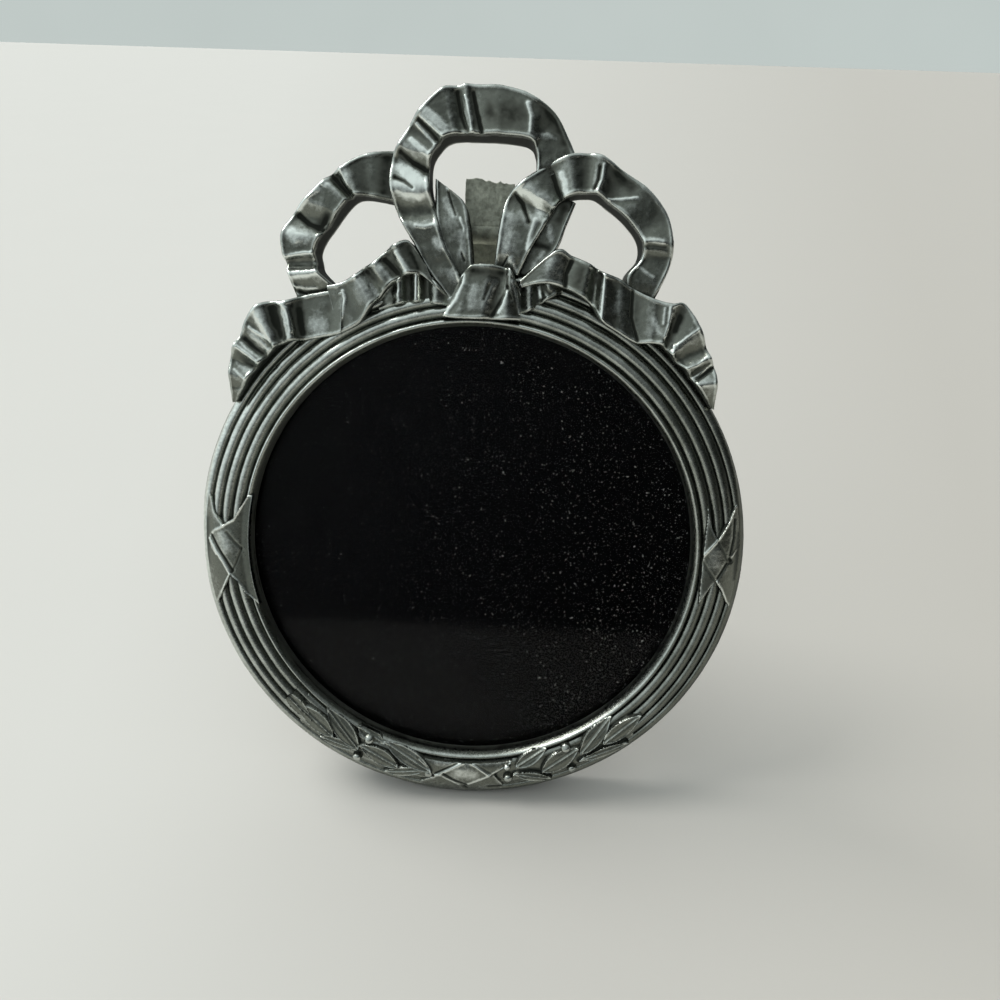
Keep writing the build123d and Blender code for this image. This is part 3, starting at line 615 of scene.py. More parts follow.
# Berries, in millimetres, with their size as a share of the largest
BERRIES = (
    (-20.0, -40.9, 1.0), (-22.8, -45.6, 1.0), (-7.6, -48.3, 0.9), (20.9, -40.9, 1.0),
    (22.6, -46.3, 0.95), (9.2, -48.7, 0.95), (8.9, -46.0, 0.7),
)


# Where the casting stands
def glass_size():
    """Radius and thickness of the glass, out of the upright box round the leaning disc."""
    lean = sizes().ring.lean
    low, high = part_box("glass_pane")
    rise = (high.z - low.z) * tan(lean)
    thickness = (high.y - low.y - rise) * cos(lean) / (1 - tan(lean) ** 2)
    return (high.x - low.x) / 2, thickness


def front_matrix():
    """The plane of the ring's widest circle: the glass lies parallel to it, behind the seat."""
    ring = sizes().ring
    low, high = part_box("glass_pane")
    turn = Euler((pi / 2 - ring.lean, 0, 0)).to_matrix().to_4x4()
    depth = ring.seat_depth + glass_size()[1] / 2
    return Matrix.Translation((low + high) / 2) @ turn @ Matrix.Translation((0, 0, depth))


def pin_centre():
    """Middle of the hinge pin in the casting's plane."""
    ring, leg = sizes().ring, sizes().leg
    return leg.hinge_x, ring.radius + leg.hinge_above_ring, -leg.hinge_depth


# Modelling helpers
def deselect():
    """Nothing is selected and no mesh is open."""
    if bpy.context.object and bpy.context.object.mode != "OBJECT":
        bpy.ops.object.mode_set(mode="OBJECT")
    bpy.ops.object.select_all(action="DESELECT")


def corners(piece):
    """Places of a piece's corners, one row each."""
    places = np.empty(len(piece.data.vertices) * 3)
    piece.data.vertices.foreach_get("co", places)
    return places.reshape(-1, 3)


def move_corners(piece, places):
    """Puts a piece's corners in their new places."""
    piece.data.vertices.foreach_set("co", np.ascontiguousarray(places).ravel())
    piece.data.update()


def cells(name, columns, rows, place):
    """A grid whose corners are moved to place(shares across, shares along)."""
    deselect()
    bpy.ops.mesh.primitive_grid_add(x_subdivisions=columns, y_subdivisions=rows, size=2)
    piece = bpy.context.object
    piece.name = piece.data.name = name
    across, along = ((corners(piece)[:, :2] + 1) / 2).T
    move_corners(piece, np.column_stack(np.broadcast_arrays(*place(across, along))))
    return piece


def close_seams(piece):
    """Joins the edges of a grid that meet, fills what stays open and turns all faces outwards."""
    bpy.ops.object.mode_set(mode="EDIT")
    bpy.ops.mesh.select_all(action="SELECT")
    bpy.ops.mesh.remove_doubles(threshold=SEAM)
    bpy.ops.mesh.fill_holes(sides=0)
    bpy.ops.mesh.normals_make_consistent(inside=False)
    bpy.ops.object.mode_set(mode="OBJECT")
    return piece


def turned(name, profile, steps):
    """A closed section of radius and height, turned about the casting's own axis."""
    last = len(profile) - 1

    def place(across, around):
        radius, height = profile[np.rint(across * last).astype(int)].T
        turn = 2 * pi * around
        return radius * np.cos(turn), radius * np.sin(turn), height

    return close_seams(cells(name, last, steps, place))


def hinge_cylinder(name, aside, thickness, vertices):
    """A cylinder round the hinge's axis, some way aside of its middle."""
    deselect()
    across, up, depth = pin_centre()
    bpy.ops.mesh.primitive_cylinder_add(
        vertices=vertices,
        radius=sizes().leg.barrel_radius,
        depth=thickness,
        location=(across + aside, up, depth),
        rotation=(0, pi / 2, 0),
    )
    piece = bpy.context.object
    piece.name = piece.data.name = name
    bpy.ops.object.transform_apply(location=True, rotation=True, scale=True)
    return piece


def modify(piece, kind, **settings):
    """Adds a modifier and applies it."""
    deselect()
    piece.select_set(True)
    bpy.context.view_layer.objects.active = piece
    modifier = piece.modifiers.new(kind.title(), kind)
    for name, value in settings.items():
        setattr(modifier, name, value)
    bpy.ops.object.modifier_apply(modifier=modifier.name)


def roughen(piece, size, height, depth=2):
    """Moves the surface in and out by a cloud pattern, as a sand or plaster mould does."""
    clouds = bpy.data.textures.new(piece.name + "_mould", "CLOUDS")
    clouds.noise_scale = size
    clouds.noise_depth = depth
    modify(
        piece, "DISPLACE", texture=clouds, strength=height, mid_level=0.5, texture_coords="LOCAL"
    )


def stand(piece, matrix, smooth_angle=radians(50)):
    """Shades a piece, stands it up, applies its place and rubs off what is outside the CAD box."""
    deselect()
    piece.select_set(True)
    bpy.context.view_layer.objects.active = piece
    bpy.ops.object.shade_smooth_by_angle(angle=smooth_angle)
    piece.matrix_world = matrix
    bpy.ops.object.transform_apply(location=True, rotation=True, scale=True)
    move_corners(piece, np.clip(corners(piece), cad_box[0], cad_box[1]))
    return piece


def joined(name, pieces):
    """Several meshes made one."""
    deselect()
    for piece in pieces:
        piece.select_set(True)
    bpy.context.view_layer.objects.active = pieces[0]
    bpy.ops.object.join()
    whole = bpy.context.object
    whole.name = whole.data.name = name
    return whole


def store(piece, name, values):
    """Stores a value at each corner."""
    attribute = piece.data.attributes.new(name, "FLOAT", "POINT")
    attribute.data.foreach_set("value", values.astype(np.float32))


def facing(piece):
    """Normals of a piece's corners, one row each."""
    normals = np.empty(len(piece.data.vertices) * 3)
    piece.data.vertices.foreach_get("normal", normals)
    return normals.reshape(-1, 3)


def mark_hollows(piece, rounds, depth):
    """Stores how low each corner lies in its smoothed surroundings: 0 on a crest, 1 in a hollow."""
    mesh = piece.data
    places = corners(piece)
    count = len(places)
    ends = np.empty(len(mesh.edges) * 2, dtype=np.int64)
    mesh.edges.foreach_get("vertices", ends)
    first, second = ends.reshape(-1, 2).T
    # Short edges pull hardest, and each corner holds on to its own place a little
    pull = ridge(np.linalg.norm(places[first] - places[second], axis=1), 0.4 * MM)
    hold = 0.3
    starts, others = np.concatenate((first, second)), np.concatenate((second, first))
    pull = np.concatenate((pull, pull))
    total = np.bincount(starts, pull, count)[:, None] + hold
    smooth = places.copy()
    for _ in range(rounds):
        near = [np.bincount(starts, pull * smooth[others, axis], count) for axis in range(3)]
        smooth = (np.stack(near, axis=1) + hold * smooth) / total
    lift = ((smooth - places) * facing(piece)).sum(axis=1)
    # A surface that is curved all over isn't a hollow
    lift -= np.median(lift) * 0.8
    store(piece, "hollow", np.clip(0.5 + lift / (2 * depth), 0, 1))


def smooth_step(value):
    """From 0 to 1 with soft ends."""
    value = np.clip(value, 0, 1)
    return value * value * (3 - 2 * value)


def ridge(distance, width):
    """1 on a line and 0 away from it."""
    return np.exp(-((distance / width) ** 2))


def line_distance(across, up, points):
    """How far places lie from a line through points."""
    nearest = np.full(across.shape, np.inf)
    for (start_x, start_y), (end_x, end_y) in zip(points, points[1:]):
        run_x, run_y = end_x - start_x, end_y - start_y
        on = ((across - start_x) * run_x + (up - start_y) * run_y) / (run_x**2 + run_y**2)
        on = np.clip(on, 0, 1)
        away = np.hypot(across - start_x - on * run_x, up - start_y - on * run_y)
        nearest = np.minimum(nearest, away)
    return nearest


def depth_inside(across, up, outline):
    """How far places lie inside a closed outline, negative outside it."""
    closed = (*outline, outline[0])
    inside = np.zeros(across.shape, bool)
    for (start_x, start_y), (end_x, end_y) in zip(closed, closed[1:]):
        if start_y != end_y:
            edge_x = start_x + (up - start_y) * (end_x - start_x) / (end_y - start_y)
            inside ^= ((start_y > up) != (end_y > up)) & (across < edge_x)
    away = line_distance(across, up, closed)
    return np.where(inside, away, -away)


def chase(piece, marks):
    """Raises and sinks marks in a piece's front, and stores its wear and painted light all over.

    Its side walls get painted shade, and marks narrower than full_width are lower, too.
    """
    full_width = 0.4
    places = corners(piece)
    across, up = places[:, 0] / MM, places[:, 1] / MM
    forwards = facing(piece)[:, 2]
    front = smooth_step(forwards * 2 - 0.8)
    # Painted shade: surfaces that face sideways, the side walls and rounded edges, start darker
    worn = -0.9 * ridge(forwards, 0.35)
    # Each mark adds its painted highlight or painted shade, together with wear, where it lies
    for (height, wear_and_light), width, *points in marks:
        on = ridge(line_distance(across, up, points), width) * front
        places[:, 2] += height * min(1, width / full_width) * on * MM
        worn += wear_and_light * on
    move_corners(piece, places)
    store(piece, "worn", np.clip(worn, -1, 1))


# Shader maths
class Value:
    """A socket of a finish, so that its maths reads as an expression."""

    def __init__(self, finish, socket):
        self.finish = finish
        self.socket = socket

    def maths(self, operation, first, second):
        """A sum on two values."""
        return self.finish.node("ShaderNodeMath", {"operation": operation}, {0: first, 1: second})

    def __add__(self, other):
        return self.maths("ADD", self, other)

    def __sub__(self, other):
        return self.maths("SUBTRACT", self, other)

    def __rsub__(self, other):
        return self.maths("SUBTRACT", other, self)

    def __mul__(self, other):
        return self.maths("MULTIPLY", self, other)

    def __truediv__(self, other):
        return self.maths("DIVIDE", self, other)

    def __gt__(self, other):
        return self.maths("GREATER_THAN", self, other)

    def at_least(self, other):
        """The larger of two values."""
        return self.maths("MAXIMUM", self, other)

    __radd__ = __add__
    __rmul__ = __mul__


class Finish:
    """A material or a world with one shader, built up from values."""

    def __init__(self, owner, output="ShaderNodeOutputMaterial"):
        self.owner = owner
        owner.use_nodes = True
        self.tree = owner.node_tree
        self.tree.nodes.clear()
        self.output = self.tree.nodes.new(output)

    def node(self, kind, settings=None, values=None, output=0):
        """Any node: its settings first, then the values or links of its sockets."""
        node = self.tree.nodes.new(kind)
        for name, setting in (settings or {}).items():
            if name == "stops":
                for stop, (place, shade) in zip(node.color_ramp.elements, setting):
                    stop.position = place
                    stop.color = (shade, shade, shade, 1)
            else:
                setattr(node, name, setting)
        for name, value in (values or {}).items():
            self.plug(node.inputs[name], value)
        return Value(self, node.outputs[output])

    def plug(self, socket, value):
        """Links a value or sets a constant."""
        if isinstance(value, Value):
            self.tree.links.new(value.socket, socket)
        elif hasattr(value, "__len__") and len(value) == 3 and socket.type == "RGBA":
            socket.default_value = (*value, 1)
        else:
            socket.default_value = value

    def places(self):
        """Object coordinates."""
        return self.node("ShaderNodeTexCoord", output="Object")

    def attribute(self, name):
        """A value stored in the mesh."""
        return self.node("ShaderNodeAttribute", {"attribute_name": name}, output="Fac")

    def noise(self, size, detail, roughness=0.5, stretch=(1, 1, 1)):
        """Noise from 0 to 1 with features of a given size."""
        scale = tuple(share / size for share in stretch)
        values = {0: self.places(), 1: scale}
        scaled = self.node("ShaderNodeVectorMath", {"operation": "MULTIPLY"}, values)
        values = {"Vector": scaled, "Scale": 1.0, "Detail": detail, "Roughness": roughness}
        return self.node("ShaderNodeTexNoise", None, values)

    def ramp(self, value, *stops):
        """A value run through the two stops of a ramp, each a place and a shade."""
        return self.node("ShaderNodeValToRGB", {"stops": stops}, {"Fac": value})

    def mix(self, factor, first, second):
        """A colour between two."""
        values = {0: factor, 6: first, 7: second}
        return self.node("ShaderNodeMix", {"data_type": "RGBA"}, values, output=2)

    def bump(self, height, distance, strength, normal=None):
        """A normal from a height, on top of another normal if there is one."""
        values = {"Height": height, "Distance": distance, "Strength": strength}
        if normal is not None:
            values["Normal"] = normal
        return self.node("ShaderNodeBump", None, values)

    def principled(self, **values):
        """The usual surface. The names are those of its sockets, with _ for a space."""
        values = {name.replace("_", " "): value for name, value in values.items()}
        return self.node("ShaderNodeBsdfPrincipled", None, values)

    def finished(self, shader):
        """The material or world, with a shader at its output."""
        self.tree.links.new(shader.socket, self.output.inputs["Surface"])
        return self.owner


def surface(name):
    """A new material to build up."""
    return Finish(bpy.data.materials.new(name))


def pewter_finish():
    """Old pewter: rubbed bright on its crests, dulled on its flats, near black in its hollows.

    Highlights and shade are painted into its colour, too.
    """
    colours = sizes().finish
    finish = surface("worn_pewter")
    blotches = finish.noise(5 * MM, 3)
    grain = finish.noise(0.6 * MM, 4, 0.6)
    scratches = finish.noise(0.5 * MM, 2, 0.5, (0.15, 1, 1))
    # About 0 where the patina and the painted shade are thickest and over 1 where the metal is
    # rubbed bright and where highlights are painted
    wear_and_light = finish.attribute("worn") * (grain * 0.8 + 0.3)
    tone = wear_and_light - finish.attribute("hollow").at_least(0.25)
    tone = tone + (blotches - 0.5) * 0.35 + (grain - 0.5) * 0.3 + 1
    bright = finish.ramp(tone, (0.5, 0.0), (1.0, 1.0))
    dark = finish.ramp(tone, (0.0, 1.0), (0.4, 0.0))
    # The patina covers the hollows and, as painted shade, the dark marks and the side walls
    patina_and_painted_shade = dark * 0.95
    base = finish.mix(bright, colours.pewter, colours.rubbed)
    base = finish.mix(patina_and_painted_shade, base, colours.patina)
    normal = finish.bump(grain, 0.05 * MM, 0.6)
    normal = finish.bump(scratches, 0.015 * MM, 0.4, normal)
    shader = finish.principled(
        Base_Color=base,
        Metallic=1 - patina_and_painted_shade,
        Roughness=0.22 + grain * 0.12 - bright * 0.05 + dark * 0.45,
        Specular_IOR_Level=0.1,
        Normal=normal,
    )
    return finish.finished(shader)


def leg_finish():
    """Unpolished pewter: dull, mottled and rough from the mould."""
    colours = sizes().finish
    finish = surface("leg_pewter")
    mottle = finish.noise(1.5 * MM, 4, 0.6)
    grain = finish.noise(0.35 * MM, 3, 0.6)
    dulled = finish.ramp(mottle, (0.35, 0.0), (0.7, 1.0))
    # Near black in its hollows: patina, and painted shade where the head, barrel and strut meet
    dark = finish.ramp(finish.attribute("hollow"), (0.55, 0.0), (0.9, 1.0))
    base = finish.mix(dulled, colours.leg_pewter, colours.leg_mottle)
    base = finish.mix(dark, base, colours.patina)
    normal = finish.bump(grain + mottle, 0.1 * MM, 0.8)
    shader = finish.principled(
        Base_Color=base, Metallic=0.9, Roughness=0.5 + grain * 0.2, Normal=normal
    )
    return finish.finished(shader)


def glass_finish():
    """Clear glass with specks of dust on it, more of them to the right."""
    colours = sizes().finish
    finish = surface("glass")
    aside = finish.node("ShaderNodeSeparateXYZ", None, {0: finish.places()})
    rarity = 0.762
    specks = finish.noise(0.4 * MM, 1, 0.4) + aside * 0.6 > rarity
    smudge = finish.noise(14 * MM, 3)
    clear = finish.principled(
        Base_Color=(1, 1, 1), Roughness=0.02 + smudge * 0.06, Transmission_Weight=1.0, IOR=1.15
    )
    dust = finish.principled(Base_Color=colours.dust, Roughness=0.9)
    shader = finish.node("ShaderNodeMixShader", None, {0: specks * 0.45, 1: clear, 2: dust})
    return finish.finished(shader)


def card_finish(name, base_colour, fleck_size, roughness, shine=0.4):
    """Card or board: a little uneven in colour, with a fibrous surface."""
    finish = surface(name)
    fibres = finish.noise(fleck_size, 3, 0.6, (1, 0.25, 1))
    shaded = tuple(c * 0.6 for c in base_colour)
    base = finish.mix(finish.ramp(fibres, (0.3, 0.0), (0.75, 1.0)), base_colour, shaded)
    normal = finish.bump(fibres, 0.03 * MM, 0.5)
    shader = finish.principled(
        Base_Color=base, Roughness=roughness + fibres * 0.1, Specular_IOR_Level=shine, Normal=normal
    )
    return finish.finished(shader)


def metal_finish(name, base_colour, roughness, tarnish):
    """Small fittings: brushed metal with tarnish in patches."""
    finish = surface(name)
    patches = finish.noise(1.6 * MM, 3)
    brushing = finish.noise(0.25 * MM, 2, 0.5, (0.1, 1, 1))
    dull = tuple(c * tarnish for c in base_colour)
    base = finish.mix(finish.ramp(patches, (0.35, 0.0), (0.7, 1.0)), base_colour, dull)
    normal = finish.bump(brushing, 0.01 * MM, 0.5)
    shader = finish.principled(
        Base_Color=base, Metallic=1.0, Roughness=roughness + patches * 0.2, Normal=normal
    )
    return finish.finished(shader)


def dress(piece, material):
    """Gives a piece its one material."""
    piece.data.materials.clear()
    piece.data.materials.append(material)


def finish_casting(piece, rounds, depth=0.12 * MM):
    """A piece of the front casting: its finish with wear, patina and painted light, and its body."""
    mark_hollows(piece, rounds, depth)
    dress(piece, bpy.data.materials.get("worn_pewter") or pewter_finish())
    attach(piece, "frame")
    return piece


class Step:
    """What all steps of the build have in common."""

    bl_options = {"REGISTER", "UNDO"}


# Ring
def crown_height(radius, height):
    """A dome over the reeds: height beside the bead, and 0 at the widest circle."""
    ring = sizes().ring
    middle = ring.radius - ring.band_width / 2
    half_flat, half_wide = ring.band_width / 4, 3 * ring.band_width / 4
    centre = (height**2 + half_flat**2 - half_wide**2) / (2 * height)
    arc_radius = hypot(half_wide, centre)
    across = np.minimum(np.abs(radius - middle + half_flat), arc_radius)
    return centre + np.sqrt(arc_radius**2 - across**2)


def front_profile():
    """The front of the ring's section as radius and height, from the outer edge inwards."""
    ring = sizes().ring
    reed_start = ring.radius - ring.band_width
    pitch = ring.band_width / ring.reed_count
    # Shares across a reed, closest together in the grooves beside it
    swing = (1 - np.cos(np.linspace(0, pi, 15))) / 2
    radii, heights = [], []
    for reed in reversed(range(ring.reed_count)):
        across = 1 - swing[:-1]
        radius = reed_start + (reed + across) * pitch
        band = ring.shoulder * (1 - ((radius - reed_start) / ring.band_width) ** 2.45)
        bulge = (1 - (2 * across - 1) ** 2) ** 0.6
        groove = ring.reed_groove * (radius < ring.radius)
        radii.append(radius)
        heights.append(band - groove + (ring.reed_rise + groove) * bulge)
    across = 1 - swing
    root = ring.shoulder - ring.reed_groove
    crest = ring.bead_height - (root + ring.bead_root) / 2
    slope = root + (ring.bead_root - root) * (1 - across)
    radii.append(reed_start - ring.bead_width * (1 - across))
    heights.append(slope + crest * np.sin(pi * across) ** 0.8)
    return np.concatenate(radii), np.concatenate(heights)


def ring_profile():
    """The ring's section as points of radius and height, once round from the outer edge inwards."""
    ring = sizes().ring
    sight = ring.radius - ring.band_width - ring.bead_width
    rebate = sight + ring.rebate_lip
    back_radius = ring.radius - ring.back_draft
    soft = 0.4 * MM
    back = [
        (sight, ring.bead_root / 2),
        (sight, -ring.seat_depth),
        (rebate, -ring.seat_depth),
        (rebate, -ring.seat_depth - soft),
        (rebate, -ring.back_depth + soft),
        (rebate + soft, -ring.back_depth),
        (back_radius - soft, -ring.back_depth),
        (back_radius, -ring.back_depth + soft),
        (back_radius + ring.back_draft / 2, -ring.back_depth / 2),
        (ring.radius, -soft),
        (ring.radius, 0),
    ]
    return np.vstack((np.column_stack(front_profile()), back))


def flatten_side(piece):
    """Rubs the ring's left side flat."""
    ring = sizes().ring
    places = corners(piece)
    places[:, 0] = np.maximum(places[:, 0], ring.flat_side - ring.radius)
    move_corners(piece, places)


class OBJECT_OT_add_ring(Step, bpy.types.Operator):
    """Adds the turned ring with its bead, reeds and rebate"""

    bl_idname = "round_frame.add_ring"
    bl_label = "Ring"

    def execute(self, context):
        ring = turned("ring", ring_profile(), 540)
        roughen(ring, 5 * MM, 0.1 * MM)
        flatten_side(ring)
        # Painted light: brighter at the upper left, towards the window, and on the flanks
        # that face there
        where = corners(ring) / sizes().ring.radius * 0.16 + facing(ring) * 0.3
        store(ring, "worn", where[:, 1] - where[:, 0] - 0.1)
        finish_casting(stand(ring, front_matrix()), 10, 0.25 * MM)
        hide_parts("front_casting")
        return {"FINISHED"}


def carving(name, turn, half_turn, relief):
    """A patch of the band with heights from relief(across, up, radius), in millimetres."""
    ring = sizes().ring
    cell = 0.13
    outer = ring.radius / MM
    inner = outer - (ring.band_width + ring.bead_width) / MM
    columns = round((outer - inner) / cell)

    def place(share_out, along):
        radius = inner + (outer - inner) * share_out
        around = turn + (2 * along - 1) * half_turn
        across, up = radius * np.cos(around), radius * np.sin(around)
        # Its inner edge reaches down to the widest circle
        height = np.where(share_out * columns < 0.5, 0, relief(across, up, radius))
        return across * MM, up * MM, height * MM

    return cells(name, columns, round(2 * half_turn * outer / cell), place)


def below_reeds(radius):
    """Heights just under the ring's surface, in millimetres."""
    clear = 0.4
    radii, heights = front_profile()
    return np.interp(radius, radii[::-1] / MM, heights[::-1] / MM) - clear


def wrap_edge(depth):
    """Share of its height that a wrap has at a depth inside its outline, in millimetres."""
    edge_width = 0.3
    return smooth_step(depth / edge_width + 0.5)


class OBJECT_OT_add_wraps(Step, bpy.types.Operator):
    """Adds the crossed ribbon wraps at the sides of the ring"""

    bl_idname = "round_frame.add_wraps"
    bl_label = "Wraps"

    def execute(self, context):
        ring = sizes().ring
        top = ring.shoulder + ring.reed_rise + ring.wrap_rise
        # Inside this radius the wraps lie over the bead, at this height, both in millimetres
        bead_reach, over_bead = 47, 2.95
        for name, (turn, outline, marks) in WRAPS.items():

            def relief(across, up, radius):
                crown = crown_height(radius * MM, top) / MM
                crown = np.maximum(crown, np.where(radius < bead_reach, over_bead, 0))
                sunk = below_reeds(radius)
                return sunk + (crown - sunk) * wrap_edge(depth_inside(across, up, outline))

            wrap = carving(name, turn, radians(17), relief)
            chase(wrap, marks)
            roughen(wrap, 2.5 * MM, 0.08 * MM)
            flatten_side(wrap)
            finish_casting(stand(wrap, front_matrix()), 16)
        return {"FINISHED"}


class OBJECT_OT_add_laurel(Step, bpy.types.Operator):
    """Adds the leaves, the berries and the crossed wrap at the foot of the ring"""

    bl_idname = "round_frame.add_laurel"
    bl_label = "Laurel"

    def execute(self, context):
        ring, laurel = sizes().ring, sizes().laurel
        reed_start = (ring.radius - ring.band_width) / MM
        # The ground between the leaves ends this many degrees off the foot, sooner further out
        ground_end = 46.5
        # Bare strip beside the bead and how far the berries stand clear, in millimetres
        bead_gap, berry_lift = 0.3, 0.3

        def relief(across, up, radius):
            crown = crown_height(radius * MM, ring.shoulder + ring.reed_rise) / MM
            sunk = below_reeds(radius)
            off_foot = np.degrees(np.abs(np.arctan2(across, -up)))
            ground = smooth_step((ground_end - off_foot - (radius - reed_start) * 0.55) * 2)
            ground = ground * smooth_step((radius - reed_start) / bead_gap)
            height = sunk + (crown - laurel.bed_depth / MM - sunk) * ground
            for leaf in LEAVES:
                height = np.maximum(height, crown + self.leaf(across, up, *leaf))
            wrap = crown + ring.wrap_rise / MM
            depth = depth_inside(across, up, FOOT_OUTLINE)
            depth = np.minimum(depth, radius - reed_start - bead_gap)
            height = np.maximum(height, sunk + (wrap - sunk) * wrap_edge(depth))
            for berry_x, berry_y, size in BERRIES:
                berry = size * laurel.berry_radius / MM
                away = np.minimum(np.hypot(across - berry_x, up - berry_y) / berry, 1)
                ball = crown + berry_lift + berry * 0.8 * np.sqrt(1 - away**2)
                height = np.where(away < 1, np.maximum(height, ball), height)
            return height

        laurel_piece = carving("laurel", -pi / 2, radians(49), relief)
        chase(laurel_piece, FOOT_MARKS)
        roughen(laurel_piece, 1.2 * MM, 0.06 * MM)
        finish_casting(stand(laurel_piece, front_matrix()), 20, 0.26 * MM)
        return {"FINISHED"}

    def leaf(self, across, up, tip, stalk, width):
        """Heights of one leaf over the crown: a lens with a raised rim and midrib."""
        laurel = sizes().laurel
        outside = -9  # Well below all else
        run_x, run_y = stalk[0] - tip[0], stalk[1] - tip[1]
        leaf_length = hypot(run_x, run_y)
        along = ((across - tip[0]) * run_x + (up - tip[1]) * run_y) / leaf_length**2
        off = np.abs((across - tip[0]) * run_y - (up - tip[1]) * run_x) / leaf_length
        edge = width / 2 * np.sin(pi * np.clip(along, 0, 1) ** 0.85) ** 0.8 - off
        rise = laurel.leaf_rise / MM + (0.5 - along) * laurel.tip_rise / MM
        rim, midrib, valley = ridge(edge - 0.28, 0.16), ridge(off, 0.17), ridge(off - 0.42, 0.2)
        rise += 0.14 * rim + 0.16 * midrib - 0.12 * valley
        cut = 0.3 * smooth_step(1 - edge / 0.2)
        return np.where(edge > 0, rise * smooth_step(edge / 0.22 + 0.2) - cut, outside)


# Bow
def along_line(points, index, on):
    """A smooth curve through points, a share of the way on from the points with an index."""
    before, here = points[np.maximum(index - 1, 0)], points[index]
    there, after = points[index + 1], points[np.minimum(index + 2, len(points) - 1)]
    on = on[:, None]
    start_pull, end_pull = (there - before) / 2, (after - here) / 2
    straight = here + (there - here) * on
    bend = (1 - on) * (start_pull - (there - here)) - on * (end_pull - (there - here))
    return straight + on * (1 - on) * bend


def ribbon(name, folds, low_height):
    """A cast ribbon: a rounded section that follows the folds, with walls down to a flat back."""
    ring, bow = sizes().ring, sizes().bow
    foot = ring.radius - bow.overlap
    table = np.array(folds)
    outer = np.column_stack((table[:, 0] * bow.half_field, foot + table[:, 1] * bow.rise))
    inner = np.column_stack((table[:, 2] * bow.half_field, foot + table[:, 3] * bow.rise))
    rises = table[:, 4] * bow.fold_height
    # Stations round the section: share across the ribbon, share of its wall's height and share of
    # the turn round its edge
    quarters = np.arange(4) / 4
    stations = [(0, wall, 0) for wall in quarters] + [(0, 1, turn) for turn in quarters]
    stations += [(across, 1, 1) for across in np.linspace(0, 1, 57)]
    stations += [(1, 1, turn) for turn in quarters[::-1]]
    stations += [(1, wall, 0) for wall in quarters[::-1]]
    stations = np.array(stations + [(0.5, 0, 0), (0, 0, 0)])
    last = len(stations) - 1
    panels = len(folds) - 1
    cells_along_panel = 18
    # Raised rims along the edges and the dish between them, in millimetres
    rim_rise, dish = 0.12, 0.1

    def place(around, along):
        side, wall, turn = stations[np.rint(around * last).astype(int)].T
        position = along * panels
        index = np.minimum(position.astype(int), panels - 1)
        on = position - index
        start, end = along_line(outer, index, on), along_line(inner, index, on)
        width = np.maximum(np.hypot(*(end - start).T), MM)
        edge = np.minimum(bow.edge, width / 4)
        here, there = rises[index], rises[index + 1]
        top_height = low_height * MM + here + (there - here) * smooth_step(on)
        inset = edge * (1 - np.cos(turn * pi / 2))
        height = -bow.back_depth + wall * (top_height - edge + bow.back_depth)
        height += (wall == 1) * edge * np.sin(turn * pi / 2)
        rim = ridge(np.minimum(side, 1 - side) * width, 0.4 * MM)
        height += (turn == 1) * (rim_rise * rim - dish) * MM
        spot = start + (end - start) * ((side * width + (1 - 2 * side) * inset) / width)[:, None]
        return spot[:, 0], spot[:, 1], height

    piece = close_seams(cells(name, last, cells_along_panel * panels, place))
    chase(piece, STROKES[name])
    roughen(piece, 1.6 * MM, 0.12 * MM)
    return finish_casting(stand(piece, front_matrix()), 24, 0.16 * MM)


class OBJECT_OT_add_bow(Step, bpy.types.Operator):
    """Adds the ribbon bow: loops, ends, tails and knot"""

    bl_idname = "round_frame.add_bow"
    bl_label = "Bow"

    def execute(self, context):
        for name, (folds, low_height) in RIBBONS.items():
            ribbon(name, folds, low_height)
        return {"FINISHED"}


class OBJECT_OT_add_hinge_lugs(Step, bpy.types.Operator):
    """Adds the two lugs behind the bow that hold the hinge pin"""

    bl_idname = "round_frame.add_hinge_lugs"
    bl_label = "Hinge lugs"

    def execute(self, context):
        bow, leg = sizes().bow, sizes().leg
        aside = leg.barrel_length / 2 + leg.barrel_clearance + leg.lug_thickness / 2
        for name, side in (("left_lug", -1), ("right_lug", 1)):
            lug = hinge_cylinder(name, side * aside, leg.lug_thickness, 48)
            # Its front half reaches into the back of the bow
            for corner in lug.data.vertices:
                if corner.co.z > -leg.hinge_depth:
                    corner.co.z = -bow.back_depth / 2
            modify(lug, "BEVEL", width=0.25 * MM, segments=3, limit_method="ANGLE")
            finish_casting(stand(lug, front_matrix(), radians(35)), 4)
        return {"FINISHED"}


